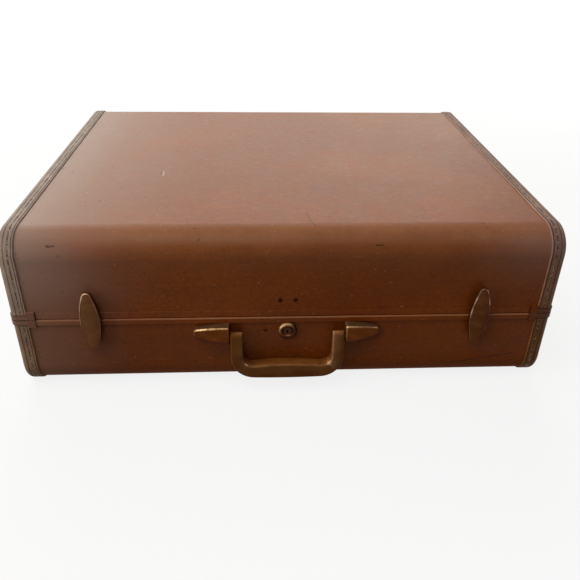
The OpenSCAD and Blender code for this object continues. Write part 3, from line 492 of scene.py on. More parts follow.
def patinated(f, tones, rough, rubbed, left=1.0, painted_left_sheen=0.0, plug=0.0, ring=1.0, brackets=False):
    """Metal under a brown patina, rubbed bright on its edges by shares at two heights, more where they face the
    upper left as a painted highlight, with painted shade on downward faces.

    left scales the left side as painted light and the haze argument greys it as painted sheen; plug darkens the
    lock, and ring darkens its lower right as painted shade.
    brackets gives the handle brackets paler tops as painted light, and their own rubbing and painted highlight.
    """
    dull, lighter, bright = tones
    patina = f.noise((0.014, 0.010, 0.008), detail=4)
    fine = f.noise(0.0016, detail=4, seed=4)
    f.base = f.mix(f.ramp(patina, 0.40, 0.75), dull, lighter)
    f.shade(fine, 0.72, 1.28)
    # painted light: the left side lighter, and greyed as a painted sheen
    f.shade(f.to_right(reach=0.15), left, 1.0)
    f.paint(f.to_right(painted_left_sheen, 0, reach=0.15), (0.22, 0.15, 0.08))
    lock = f.near(f.x, 0, 20 * MM, 30 * MM)
    f.paint(f.times(lock, plug), (0.040, 0.018, 0.013))
    lower_right = f.plus(f.times(f.plus(f.z, -lock_z), -0.55), f.times(f.x, 0.83))
    # painted shade on the lock ring's lower right
    shaded = f.times(lock, f.ramp(lower_right, -6 * MM, 3 * MM))
    f.shade(shaded, 1.0, ring)
    spot = f.ramp(f.cells(3.4 * MM), 0.08, 0.20, 0.6, 0)
    f.paint(spot, (0.022, 0.008, 0.003))
    # painted shade on faces that turn downward
    f.shade(f.ramp(f.toward((-0.55, 0, 0.84)), -0.85, 0.05, 1, 0), 1.0, 0.4)
    # painted highlight on edges that face the upper left
    upper = f.ramp(f.toward((-0.4, -0.4, 0.82)), 0.30, 0.85, 0.05, 1)
    edge_rub_and_highlight = 1.0
    if brackets:
        # painted light: paler tops on the brackets
        f.paint(f.level(0, 0.65), (0.26, 0.145, 0.065))
        # painted highlight at the left bracket's tip
        left_tip = f.ramp(f.x, -0.3 * MM - bracket_tip, 7.7 * MM - bracket_tip, 0.7, 0)
        upper = f.math("MAXIMUM", upper, left_tip)
        edge_rub_and_highlight = bracket_rub_and_highlight(f)
    flat_bend, edge_bend = 95, 200
    # painted highlight on the lock ring's upper left
    lit = f.times(lock, f.ramp(lower_right, -10 * MM, -5 * MM, 0.8, 0))
    # rubbed edges, partly a painted highlight
    edge = f.times(
        f.ramp(f.stored("bend"), flat_bend, edge_bend),
        upper,
        f.ramp(f.noise(0.008, detail=2, seed=19), 0.36, 0.56, 0.5, 1),
        edge_rub_and_highlight,
        f.plus(f.ramp(shaded, 0, 1, 1, ring), lit),
    )
    low_z, low_share, high_z, high_share = rubbed
    edge = f.times(
        f.math("MAXIMUM", edge, f.stored("rim")),
        f.ramp(f.plus(fine, f.times(patina, 0.8)), 0.65, 1.1, 0.35, 1),
        f.ramp(f.z, low_z, high_z, low_share, high_share),
    )
    f.paint(edge, bright)
    f.set(Specular_IOR_Level=0.08, Specular_Tint=(0.4, 0.24, 0.14))
    f.set(Metallic=f.plus(f.times(edge, 0.35), 0.6), Roughness=f.plus(f.times(patina, 0.2), rough))
    f.bump(fine, 0.06 * MM, 0.5)


def aged_brass(f):
    """Brackets, lock ring, hinges, buckles and feet: red-brown, with brassy edges that are rubbed and partly a
    painted highlight.
    """
    tones = (0.100, 0.025, 0.0040), (0.132, 0.039, 0.0080), (0.70, 0.46, 0.23)
    # edges brighter higher up: rubbing and a painted highlight
    rubbed = (0.0690, 0.10, 0.0790, 0.90)
    patinated(f, tones, 0.26, rubbed, ring=0.45, brackets=True)


def bronze_leaf(f):
    """Latches and lock plug: darker, with pale edges that are rubbed and partly a painted highlight; the left leaf
    is lighter and greyer as painted light.
    """
    tones = (0.076, 0.024, 0.0060), (0.108, 0.038, 0.0120), (0.74, 0.52, 0.34)
    # edges brighter towards the tip: rubbing and a painted highlight
    rubbed = (0.072, 0.15, 0.140, 1.0)
    patinated(f, tones, 0.34, rubbed, left=1.3, painted_left_sheen=0.12, plug=0.7)


def dark_steel(f):
    """Blackened rivets and pins with a little rust, browner on the tray than on the lid."""
    rust = f.noise(0.0015, detail=4)
    f.base = f.mix(f.ramp(rust, 0.45, 0.7), (0.032, 0.012, 0.005), (0.075, 0.028, 0.011))
    f.paint(f.ramp(f.z, part_z - 5 * MM, part_z, 0.6, 0), (0.15, 0.040, 0.005))
    f.set(Specular_IOR_Level=0.02, Roughness=f.plus(f.times(rust, 0.3), 0.6))
    f.bump(rust, 0.1 * MM, 0.5)


def plated_steel(f):
    """Dull plated steel, brushed along X, with stains."""
    brushed = f.noise((0.02, 0.0003, 0.0003))
    stain = f.noise(0.012, detail=5, seed=6)
    f.base = f.mix(f.ramp(stain, 0.5, 0.75), (0.42, 0.40, 0.36), (0.20, 0.15, 0.10))
    f.shade(brushed, 0.85, 1.15)
    f.set(Metallic=0.9, Roughness=f.plus(f.times(stain, 0.3), 0.25))
    f.bump(brushed, 0.05 * MM, 0.5)


def moulded_handle(f):
    """Olive-brown moulded loop, clouded along its length, rubbed on its edges, with painted highlights on its
    inner front edge and corners and painted light on its level faces.
    """
    cloud = f.noise((0.018, 0.008, 0.008), detail=4)
    scuff = f.noise(0.0015, detail=4, seed=8)
    f.base = f.mix(f.ramp(cloud, 0.32, 0.68), (0.135, 0.040, 0.0055), (0.180, 0.062, 0.0105))
    f.shade(scuff, 0.86, 1.14)
    inner_edge_rub_and_highlight = f.stored("inner_edge_rub_and_highlight")
    # rubbed inner front edge, partly a painted highlight
    f.paint(f.times(inner_edge_rub_and_highlight, f.ramp(cloud, 0.35, 0.65, 0.5, 1.0)), (0.43, 0.215, 0.100))
    # painted highlight in the inner corners
    f.paint(f.ramp(inner_edge_rub_and_highlight, 0.75, 1.15), (0.80, 0.50, 0.26))
    # painted light: level faces lighter
    f.shade(f.level(), 1.0, 1.15)
    f.set(Specular_IOR_Level=0.07, Roughness=f.plus(f.times(scuff, 0.2), 0.45))
    f.bump(f.plus(f.times(cloud, 2.0), f.times(scuff, 0.2)), 0.12 * MM, 0.4)


def waves(f, coordinate, pitch):
    return f.math("SINE", f.times(coordinate, 2 * math.pi / pitch))


def weave(f, pitch):
    """Height of a plain weave seen on any of the three box faces."""
    x, y, z = (waves(f, coordinate, pitch) for coordinate in (f.x, f.y, f.z))
    return f.plus(f.times(x, y), f.times(y, z), f.times(x, z))


def lining_cloth(f):
    """Plain woven lining, yellowed in clouds, with a fine check of darker threads."""
    age = f.noise(0.08, detail=4)
    slub = f.noise((0.02, 0.0008, 0.0008), detail=2, seed=3)
    f.base = f.mix(f.ramp(age, 0.35, 0.7), (0.40, 0.29, 0.17), (0.52, 0.41, 0.27))
    f.shade(slub, 0.8, 1.2)
    cloth = weave(f, 1.1 * MM)
    f.shade(f.ramp(cloth, -1, 1), 0.78, 1.12)
    for coordinate in (f.x, f.y):
        phase = f.math("PINGPONG", coordinate, 9 * MM)
        f.paint(f.ramp(phase, 0.5 * MM, 0.9 * MM, 0.35, 0), (0.20, 0.11, 0.06))
    stain = f.ramp(f.noise(0.05, detail=5, seed=17), 0.58, 0.72, 0, 0.35)
    f.paint(stain, (0.27, 0.16, 0.08))
    f.set(Roughness=0.9, Sheen_Weight=0.2, Sheen_Roughness=0.5, Specular_IOR_Level=0.2)
    f.bump(f.plus(cloth, f.times(slub, 2.0)), 0.15 * MM, 0.7)


def webbing(f):
    """Woven tape, ribbed across, with a darker stripe near each edge."""
    strap_x, stripe_x = 130 * MM, 8.5 * MM
    rib = waves(f, f.y, 1.6 * MM)
    yarn = f.noise((0.0009, 0.004, 0.0009), detail=2)
    f.base = f.mix(f.ramp(yarn, 0.3, 0.7), (0.26, 0.17, 0.085), (0.40, 0.28, 0.16))
    f.shade(f.ramp(rib, -1, 1), 0.75, 1.1)
    stripe = f.near(f.apart(f.apart(f.x), strap_x), stripe_x, 0.8 * MM, 1.2 * MM)
    f.paint(f.times(stripe, 0.7), (0.13, 0.055, 0.03))
    f.set(Roughness=0.88, Specular_IOR_Level=0.2)
    f.bump(f.plus(rib, yarn), 0.2 * MM, 0.8)


def lip_board(f):
    """Cloth-faced board, rubbed along its upper edge."""
    cloud = f.noise((0.03, 0.03, 0.01), detail=4)
    f.base = f.mix(f.ramp(cloud, 0.35, 0.7), (0.22, 0.12, 0.05), (0.34, 0.20, 0.10))
    rubbed = f.ramp(f.z, part_z + 3 * MM, part_z + 7 * MM, 0, 0.5)
    f.paint(rubbed, (0.46, 0.32, 0.19))
    f.set(Roughness=0.65)
    f.bump(weave(f, 0.9 * MM), 0.1 * MM, 0.5)


def sewing_thread(f):
    """Waxed thread; each stitch has its own amount of dirt."""
    island = f.made("ShaderNodeNewGeometry", "Random Per Island")
    dirt = f.noise(0.04)
    clean = f.ramp(f.plus(f.times(island, 0.6), f.times(dirt, 0.7)), 0.40, 0.85)
    dirty = f.mix(f.to_right(), (0.15, 0.10, 0.066), (0.10, 0.055, 0.028))
    f.base = f.mix(clean, dirty, f.mix(f.to_right(), (0.52, 0.43, 0.33), (0.52, 0.36, 0.19)))
    ply = f.noise(0.0006, detail=2)
    f.shade(ply, 0.75, 1.25)
    f.set(Roughness=0.7, Specular_IOR_Level=0.3)
    f.bump(ply, 0.1 * MM, 0.6)


FINISHES = {}
for maker in (
    cover_leatherette, binding_leather, lip_board, lining_cloth, webbing, aged_brass,
    bronze_leaf, dark_steel, plated_steel, moulded_handle, sewing_thread,
):
    worked = Finish(maker.__name__)
    maker(worked)
    worked.set(Base_Color=worked.base)
    FINISHES[maker.__name__] = worked.material


def dress_nodes():
    """Gives every solid of the frame the finish of its slot."""
    for part in frame["record"]["subparts"]:
        for slot in frame["nodes"][part["node"]].material_slots:
            slot.material = FINISHES[part["material_slot"]]


# Mesh helpers

def add_ring(mesh, points):
    return [mesh.verts.new(p) for p in points]


def skin(mesh, rings, closed=True):
    """Quads between neighbouring rings of equally many points."""
    for near, far in zip(rings, rings[1:]):
        count = len(near)
        for i in range(count if closed else count - 1):
            j = (i + 1) % count
            mesh.faces.new((near[i], near[j], far[j], far[i]))


def add_tube(mesh, rings):
    """Skin over closed rings, with a face on each end."""
    skin(mesh, rings)
    for end in (rings[0], rings[-1]):
        mesh.faces.new(end)


def add_block(mesh, low, high, bevel):
    """Box between two corners with bevelled edges."""
    centre, size = (Vector(low) + Vector(high)) / 2, Vector(high) - Vector(low)
    place = Matrix.Translation(centre) @ Matrix.Diagonal((*size, 1))
    made = bmesh.ops.create_cube(mesh, size=1, matrix=place)["verts"]
    edges = {e for v in made for e in v.link_edges}
    bmesh.ops.bevel(mesh, geom=list(edges), offset=bevel, segments=2, profile=0.5, affect="EDGES")


def write_bend(mesh, scale):
    """Stores how sharply the surface turns at each point, per metre and positive on outer edges."""
    mesh.normal_update()
    layer = mesh.verts.layers.float.new("bend")
    for v in mesh.verts:
        total = 0.0
        for e in v.link_edges:
            step = e.other_vert(v).co - v.co
            total -= 2 * v.normal.dot(step) / max(step.length_squared, 1e-12)
        v[layer] = scale * total / max(len(v.link_edges), 1)


def make_piece(name, mesh, finish, body, sharp_deg=40, rub=1.0):
    """Turns a bmesh into a smooth-shaded piece that rides on a body; rub scales how rubbed its edges look, with
    their painted highlight.

    Its slot has the name of its finish.
    """
    bmesh.ops.remove_doubles(mesh, verts=mesh.verts, dist=1e-6)
    bmesh.ops.recalc_face_normals(mesh, faces=mesh.faces)
    write_bend(mesh, rub)
    data = bpy.data.meshes.new(name)
    mesh.to_mesh(data)
    mesh.free()
    data.shade_smooth()
    data.set_sharp_from_angle(angle=math.radians(sharp_deg))
    data.materials.append(FINISHES[finish])
    piece = add_object(name, data)
    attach(piece, body)
    return piece


def arc(centre, radius, start_deg, end_deg, count):
    """Points of an arc in a plane, ends included."""
    for i in range(count + 1):
        a = math.radians(start_deg + (end_deg - start_deg) * i / count)
        yield centre[0] + radius * math.cos(a), centre[1] + radius * math.sin(a)


# Handle

def rounded_section(half_a, half_b, round_r, steps):
    """Rounded rectangle about the origin."""
    r = min(round_r, 0.95 * half_a, 0.95 * half_b)
    points = []
    for k, (sa, sb) in enumerate(((1, 1), (-1, 1), (-1, -1), (1, -1))):
        centre = (sa * (half_a - r), sb * (half_b - r))
        points += arc(centre, r, 90 * k, 90 * k + 90, steps)
    return points


def handle_stations():
    """Left half of the loop: inner and outer point (x, z from the pivot) and half depth at each station.

    The second result is the number of the station in the middle of the loop's lower corner.
    """
    low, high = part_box("handle")
    pivot = joint_at("handle_swing")
    half, top, drop = high.x, high.z - pivot.z, pivot.z - low.z
    deep = (high.y - low.y) / 2
    leg, grip, bow = 13.5 * MM, 20 * MM, 4 * MM
    turn, inner, taper, under = 26 * MM, 12 * MM, 26 * MM, 2 * MM
    in_half = half - leg
    arch_r = (in_half ** 2 + bow ** 2) / (2 * bow)
    arch_z = grip - drop - arch_r
    corner_x = in_half - inner
    corner_z = arch_z + math.sqrt((arch_r + inner) ** 2 - corner_x ** 2)
    meet_deg = math.degrees(math.atan2(corner_z - arch_z, corner_x))

    def lifted(x, z):
        return x, z + under * (x / half) ** 2

    def depth(z):
        return min(deep, top + (deep - top) * max(0.0, -z) / taper)

    stations = []
    for a in range(80, 0, -10):
        z = top * math.sin(math.radians(a))
        stations.append(((-in_half, z), (-half, z), top * math.cos(math.radians(a))))
    leg_steps, turn_steps, grip_steps = 8, 16, 10
    for i in range(leg_steps):
        z_in, z_out = corner_z * i / leg_steps, (turn - drop) * i / leg_steps
        stations.append(((-in_half, z_in), (-half, z_out), depth((z_in + z_out) / 2)))
    corner = len(stations) + turn_steps // 2
    outer_arc = arc((turn - half, turn - drop), turn, 180, 270, turn_steps)
    inner_arc = arc((-corner_x, corner_z), inner, 180, 360 - meet_deg, turn_steps)
    for near, far in zip(inner_arc, outer_arc):
        stations.append((near, lifted(*far), depth((near[1] + far[1]) / 2)))
    meet_x = corner_x * arch_r / (arch_r + inner)
    for i in range(1, grip_steps + 1):
        share = 1 - i / grip_steps
        x = -meet_x * share
        near = (x, arch_z + math.sqrt(arch_r ** 2 - x ** 2))
        stations.append((near, lifted((turn - half) * share, -drop), deep))
    return stations, corner


def make_handle():
    """Loop of rounded sections; it stores how rubbed its inner front edge is and how strong its painted highlight
    is, most in the corners.
    """
    pivot = joint_at("handle_swing")
    round_r, round_steps = 2.4 * MM, 8
    # strengths of the rubbed edge and its painted highlight, and how far they reach
    plain_rub_and_highlight, plain_reach = 0.6, 1.9 * MM
    right_leg_rub_and_highlight, right_leg_reach = 1.0, 2.9 * MM
    corner_highlight, corner_stations = 1.1, 2.4
    mesh = bmesh.new()
    half, corner = handle_stations()
    mirrored = [((-n[0], n[1]), (-f[0], f[1]), d) for n, f, d in reversed(half[:-1])]
    stations = half + mirrored
    right_corner = len(stations) - 1 - corner
    rings = []
    inner_edge_rub_and_highlight = mesh.verts.layers.float.new("inner_edge_rub_and_highlight")
    for k, (near, far, depth) in enumerate(stations):
        is_right_leg = k >= right_corner
        from_corner = min(abs(k - corner), abs(k - right_corner))
        strength = right_leg_rub_and_highlight if is_right_leg else plain_rub_and_highlight
        strength += corner_highlight * math.exp(-(from_corner / corner_stations) ** 2)
        reach = right_leg_reach if is_right_leg else plain_reach
        near, far = Vector((near[0], 0, near[1])), Vector((far[0], 0, far[1]))
        middle = pivot + (near + far) / 2
        outward = (far - near).normalized()
        half_a = (far - near).length / 2
        section = rounded_section(half_a, depth, round_r, round_steps)
        ring = add_ring(mesh, [middle + outward * a + Vector((0, b, 0)) for a, b in section])
        for v, (a, b) in zip(ring, section):
            v[inner_edge_rub_and_highlight] = strength * math.exp(-((a + half_a) ** 2 + (b + depth) ** 2) / reach ** 2)
        rings.append(ring)
    add_tube(mesh, rings)
    loop = make_piece("handle_loop", mesh, "moulded_handle", "handle", 60)
    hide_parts("handle")


# Handle brackets

def bracket_section(out, half_h):
    """Section of a bracket: (outward, up), flat at the back, with a tighter round above than below."""
    upper_r, lower_r = 1.9 * MM, 7 * MM
    upper = min(upper_r, 0.5 * out, 0.6 * half_h)
    lower = min(lower_r, 0.8 * out, 0.8 * half_h)
    points = [(0, half_h)]
    points += arc((out - upper, half_h - upper), upper, 90, 0, 5)
    points += arc((out - lower, lower - half_h), lower, 0, -90, 6)
    points.append((0, -half_h))
    return points


def make_bracket(side, node):
    """Bullet-shaped shell: two arcs run into a round tip, and it gets thinner towards that tip."""
    low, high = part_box(node)
    wide = (high.z - low.z) / 2
    middle_z = (high.z + low.z) / 2
    length = high.x - low.x
    near_x = low.x if side > 0 else high.x
    out, tip_out, tip_r = front_y - low.y, 5.5 * MM, 7.5 * MM
    tip_x = length - tip_r
    side_r = (tip_x ** 2 + wide ** 2 - tip_r ** 2) / (2 * (wide - tip_r))
    meet_x = tip_x * side_r / (side_r - tip_r)
    drop = out - tip_out
    plan_r = (length ** 2 + drop ** 2) / (2 * drop)
    bevel = 0.8 * MM
    side_steps, tip_steps = 19, 8
    mesh = bmesh.new()
    rings = []

    def ring(x, inset=0.0):
        if x < meet_x:
            h = wide - side_r + math.sqrt(side_r ** 2 - x ** 2)
        else:
            h = math.sqrt(max(tip_r ** 2 - (x - tip_x) ** 2, 1e-9))
        o = out - plan_r + math.sqrt(plan_r ** 2 - x ** 2)
        o *= min(1, 0.5 + 0.5 * math.sqrt(h / tip_r))
        section = bracket_section(o - inset, h - inset)
        rings.append(add_ring(mesh, [(near_x + side * x, front_y - a, middle_z + b) for a, b in section]))

    ring(0, bevel)
    ring(0.3 * bevel, 0.3 * bevel)
    ring(bevel)
    for i in range(1, side_steps + 1):
        ring(bevel + (meet_x - bevel) * i / side_steps)
    for i in range(1, tip_steps + 1):
        ring(meet_x + (length - meet_x) * math.sin(math.radians(90 * i / tip_steps)))
    skin(mesh, rings)
    mesh.faces.new(rings[0])
    piece = make_piece(node + "_shell", mesh, "aged_brass", "tray", 50)
    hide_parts(node)


# Latch leaves

def leaf_outline(size, inset):
    """Half outline of a pointed oval, from the cut foot up to the tip: (x, z) pairs with x from the spine."""
    width, half_h, tip_r, foot = size
    big = (half_h ** 2 + width ** 2 / 4) / width
    off = big - width / 2
    rise = math.sqrt((big - tip_r) ** 2 - off ** 2)
    start = math.degrees(math.asin(-foot / (big - inset)))
    end = math.degrees(math.atan2(rise, off))
    points = list(arc((-off, 0), big - inset, start, end, 26))
    points += list(arc((0, rise), tip_r - inset, end, 90, 6))[1:]
    return points


def make_leaf(side):
    """Crowned hollow leaf, open at its foot, with a raised rim, a hub on the pin and a claw behind it."""
    node = f"{side}_latch_lever"
    low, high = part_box(node)
    pivot = joint_at(f"{side}_latch_swing")
    x_mid = (low.x + high.x) / 2
    crown_y, open_y = low.y, front_y - 5.5 * MM
    crown_r, rim_w, dish, wall = 26 * MM, 1.2 * MM, 0.4 * MM, 1.4 * MM
    half_h, tip_r, foot = 46 * MM, 5.2 * MM, 32 * MM
    nod, nod_from = 4 * MM, 15 * MM
    hub_r, hub_half = 2.6 * MM, 2.5 * MM
    claw_half, claw_h, claw_z = 4 * MM, 3 * MM, part_z + 15.6 * MM
    size = (high.x - low.x, half_h, tip_r, foot)
    mid_z = part_z + 0.8 * MM
    mesh = bmesh.new()
    rim = mesh.verts.layers.float.new("rim")

    def crown(x, z):
        """Fall of the crown beside its spine and towards the tip."""
        towards_tip = max(0, (z - nod_from) / (half_h - nod_from))
        return crown_r - math.sqrt(crown_r ** 2 - x ** 2) + nod * towards_tip ** 2

    def ring(inset, sink, flat=1.0, follow=True):
        """Outline at a depth below the crown's surface, or below its highest line."""
        half = leaf_outline(size, inset)
        places = [(x * flat, z) for x, z in half] + [(-x * flat, z) for x, z in reversed(half)][1:]
        return add_ring(mesh, [
            (x_mid + x, crown_y + sink + (crown(x, z) if follow else 0), mid_z + z) for x, z in places
        ])

    steps = 10
    deep = open_y - crown_y
    inner = [ring(wall, wall, i / steps) for i in range(steps + 1)]
    inner.append(ring(wall, deep, follow=False))
    skirt = [ring(0, deep, follow=False), ring(0, 0.35 * MM)]
    worn = [ring(0.12 * MM, 0.1 * MM), ring(0.35 * MM, 0), ring(rim_w, 0.02 * MM)]
    hollow = [ring(rim_w + 0.25 * MM, dish * (1 - i / steps) ** 2, 1 - i / steps) for i in range(steps + 1)]
    outer = skirt + worn + hollow
    # rubbed rim patches, stronger on the left side as a painted highlight
    for v in (v for edge in worn for v in edge):
        patch = max(0.0, noise.noise(v.co * 85 + Vector((0, 0, 2.4))) * 2.2)
        v[rim] = min(1.0, 0.16 + 0.84 * patch) * (1.0 if v.co.x < x_mid else 0.7)
    skin(mesh, inner + outer, closed=False)
    cut = [r[0] for r in outer] + [r[-1] for r in reversed(outer[:-1])]
    cut += [r[-1] for r in reversed(inner)] + [r[0] for r in inner[1:]]
    mesh.faces.new(cut)
    circle = list(arc((pivot.y, pivot.z), hub_r, 0, 345, 23))
    add_tube(mesh, [add_ring(mesh, [(x_mid + x, y, z) for y, z in circle]) for x in (-hub_half, hub_half)])
    roof_y = crown_y + wall / 2
    blocks = (
        (hub_half, pivot.y, pivot.z - hub_r, pivot.z + hub_r, 0.3 * MM),
        (claw_half, front_y - 5 * MM, claw_z, claw_z + claw_h, 0.4 * MM),
    )
    for half, back, low_z, high_z, bevel in blocks:
        add_block(mesh, (x_mid - half, roof_y, low_z), (x_mid + half, back, high_z), bevel)
    piece = make_piece(f"{side}_leaf", mesh, "bronze_leaf", f"{side}_latch", 45, rub=0)
    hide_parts(node)


# Lock bezel

def make_bezel():
    """Domed ring with a neck behind it, turned about the lock's axis; its profile is in mm from there."""
    low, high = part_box("lock_bezel")
    centre = Vector(((low.x + high.x) / 2, front_y, (low.z + high.z) / 2))
    bore, neck, rim = 5.05, 8.0, 11.0
    back, lip = -4.0, 2.2
    dome_at, dome_w, dome_base, dome_h = 8.1, 2.9, 1.6, 3.4
    dome = [(dome_at + dome_w * c, dome_base + dome_h * s) for c, s in arc((0, 0), 1, 165, 0, 18)]
    profile_mm = [(bore, back), (bore, lip), *dome, (rim, 0.0), (neck, 0.0), (neck, back)]
    mesh = bmesh.new()
    count = 72
    rings = []
    for i in range(count):
        a = 2 * math.pi * i / count
        out = Vector((math.cos(a), 0, math.sin(a)))
        rings.append(add_ring(mesh, [centre + out * r * MM - Vector((0, y * MM, 0)) for r, y in profile_mm]))
    skin(mesh, rings + [rings[0]])
    piece = make_piece("lock_bezel_ring", mesh, "aged_brass", "tray", rub=0.75)
    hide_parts("lock_bezel")


# Stitching

def binding_path(is_lid, offset, spacing):
    """Points along a binding from front to back: place, and outward direction in the (y, z) plane."""
    flat_z = lid_high.z if is_lid else tray_low.z
    sign = 1 if is_lid else -1
    start_z = part_z + sign * (end_band_h + 2 * MM)
    turn_z = flat_z - sign * roll_r
    rise = abs(turn_z - start_z)
    quarter = math.pi / 2 * (roll_r + offset)
    flat = back_y - front_y - 2 * roll_r
    total = 2 * rise + 2 * quarter + flat
    count = int(total / spacing)
    for i in range(count):
        s = (i + 0.5) * total / count
        mirrored = s > total / 2
        s = min(s, total - s)
        if s < rise:
            place, out = Vector((0, front_y - offset, start_z + sign * s)), Vector((0, -1, 0))
        elif s < rise + quarter:
            a = (s - rise) / (roll_r + offset)
            out = Vector((0, -math.cos(a), sign * math.sin(a)))
            place = Vector((0, front_y + roll_r, turn_z)) + out * (roll_r + offset)
        else:
            out = Vector((0, 0, sign))
            place = Vector((0, front_y + roll_r + s - rise - quarter, flat_z + sign * offset))
        if mirrored:
            place.y = front_y + back_y - place.y
            out.y = -out.y
        yield place, out


def add_stitch(mesh, place, out, side, lean, size):
    """One short loop of thread that dips into the leather at both ends; lean turns it towards side."""
    length, width, height = size
    run = (out.cross(side) + side * lean).normalized()
    across = run.cross(out)
    rings = []
    for u in (-1, -0.85, -0.5, 0, 0.5, 0.85, 1):
        swell = math.sqrt(1 - 0.92 * u * u)
        middle = place + run * (u * length / 2) - out * (height * 0.9 * u * u)
        rings.append(add_ring(mesh, [
            middle + across * (math.cos(a) * width / 2 * swell) + out * (math.sin(a) * height * swell)
            for a in (math.pi * k / 4 for k in range(8))
        ]))
    add_tube(mesh, rings)


def make_stitching():
    """A zigzag of thread along every binding, sunk in its groove under the tray, and a row on its side."""
    chance = random.Random(6)
    zigzag_out, zigzag_spacing, zigzag_w, zigzag_lean = bind_t - 0.1 * MM, 3.1 * MM, 1.05 * MM, 0.75
    row_out, row_spacing, row_w, row_h = -10.5 * MM, 4.6 * MM, 0.95 * MM, 0.45 * MM
    row_x = half_w - 0.15 * MM
    sunk, sunk_lean = 0.5 * MM, 0.2
    for body, is_lid in (("tray", False), ("lid", True)):
        for side_name, side in (("left", -1), ("right", 1)):
            mesh = bmesh.new()
            for i, (place, out) in enumerate(binding_path(is_lid, zigzag_out, zigzag_spacing)):
                place.x = side * stitch_x
                lean = (zigzag_lean if i % 2 else -zigzag_lean) + chance.uniform(-0.08, 0.08)
                length = chance.uniform(3.7, 4.1) * MM
                height = chance.uniform(0.40, 0.50) * MM
                if out.z < -0.5:
                    lean *= sunk_lean
                    place -= out * sunk
                add_stitch(mesh, place, out, RIGHT, lean, (length, zigzag_w, height))
            for place, out in binding_path(is_lid, row_out, row_spacing):
                place.x = side * row_x
                lean = chance.uniform(-0.10, 0.10)
                length = chance.uniform(3.1, 3.5) * MM
                add_stitch(mesh, place, RIGHT * side, out, lean, (length, row_w, row_h))
            make_piece(f"{body}_{side_name}_stitches", mesh, "sewing_thread", body)


# Linings and packing straps

WALL_STEPS = 10


def lining_path(low, high, rim_z, flat_z, inset):
    """Section of a lining from the front rim, along the flat side, to the back rim: (y, z) pairs."""
    turn_steps, flat_steps = 8, 60
    sign = 1 if rim_z > flat_z else -1
    r = roll_r - wall_t - inset
    y0, y1, z0 = low.y + inset, high.y - inset, flat_z + sign * inset
    turn_z = z0 + sign * r
    front = [(y0, rim_z + (turn_z - rim_z) * i / WALL_STEPS) for i in range(WALL_STEPS)]
    for i in range(turn_steps + 1):
        a = math.pi / 2 * i / turn_steps
        front.append((y0 + r - r * math.cos(a), turn_z - sign * r * math.sin(a)))
    wide = y1 - y0 - 2 * r
    flat = [(y0 + r + wide * i / flat_steps, z0) for i in range(1, flat_steps)]
    return front + flat + [(y0 + y1 - y, z) for y, z in reversed(front)]


def make_lining(body, node, gap_x, gap_z):
    """Cloth glued into one half, a little puckered, with a turned hem at the rim and a gap for the lock."""
    low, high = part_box(node)
    is_lid = body == "lid"
    rim_z, flat_z = (low.z, high.z) if is_lid else (high.z, low.z)
    sign = -1 if is_lid else 1
    inset, fade_w, wave_t, hem_h, hem_t = 0.9 * MM, 25 * MM, 0.7 * MM, 7 * MM, 0.35 * MM
    wall_from, gap_to_y = 26 * MM, front_y + 20 * MM
    path = lining_path(low, high, rim_z, flat_z, inset)
    x_in = high.x - inset
    count, end_steps = 90, 12
    mesh = bmesh.new()

    def pucker(x, y, z, inward):
        """Small soft waves, fading out at the ends, and the thicker hem."""
        fade = min(1.0, (x_in - abs(x)) / fade_w)
        lift = noise.noise(Vector((x * 22, y * 30, z * 30))) * 0.5
        lift += noise.noise(Vector((x * 70, y * 9, z * 9))) * 0.3
        hem = hem_t if abs(z - rim_z) < hem_h else 0.0
        return Vector((x, y, z)) + inward * (max(0.0, lift + 0.15) * wave_t * fade + hem)

    def is_gap(place):
        across = gap_x[0] < place.x < gap_x[1] and gap_z[0] < place.z < gap_z[1]
        return across and place.y < gap_to_y

    middle_y = (low.y + high.y) / 2
    rings = []
    for y, z in path:
        on_wall = abs(z - flat_z) > wall_from
        inward = Vector((0, middle_y - y, 0)).normalized() if on_wall else UP * sign
        columns = (-x_in + 2 * x_in * i / count for i in range(count + 1))
        rings.append(add_ring(mesh, [pucker(x, y, z, inward) for x in columns]))
    for near_ring, far_ring in zip(rings, rings[1:]):
        for i in range(count):
            if not is_gap((near_ring[i].co + far_ring[i + 1].co) / 2):
                mesh.faces.new((near_ring[i], near_ring[i + 1], far_ring[i + 1], far_ring[i]))
    shares = [k / end_steps for k in range(end_steps + 1)]
    for x in (-x_in, x_in):
        columns = [
            add_ring(mesh, [(x, y, z + (rim_z - z) * share) for share in shares])
            for y, z in path[WALL_STEPS:-WALL_STEPS]
        ]
        skin(mesh, columns, closed=False)
    bmesh.ops.remove_doubles(mesh, verts=mesh.verts, dist=0.05 * MM)
    loose = [v for v in mesh.verts if not v.link_faces]
    bmesh.ops.delete(mesh, geom=loose, context="VERTS")
    area = sum(face.calc_area() for face in mesh.faces)
    cloth = make_piece(node + "_cloth", mesh, "lining_cloth", body, 50)
    thick = cloth.modifiers.new("thick", "SOLIDIFY")
    thick.thickness = 1.1 * MM
    thick.offset = 0
    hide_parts(node)


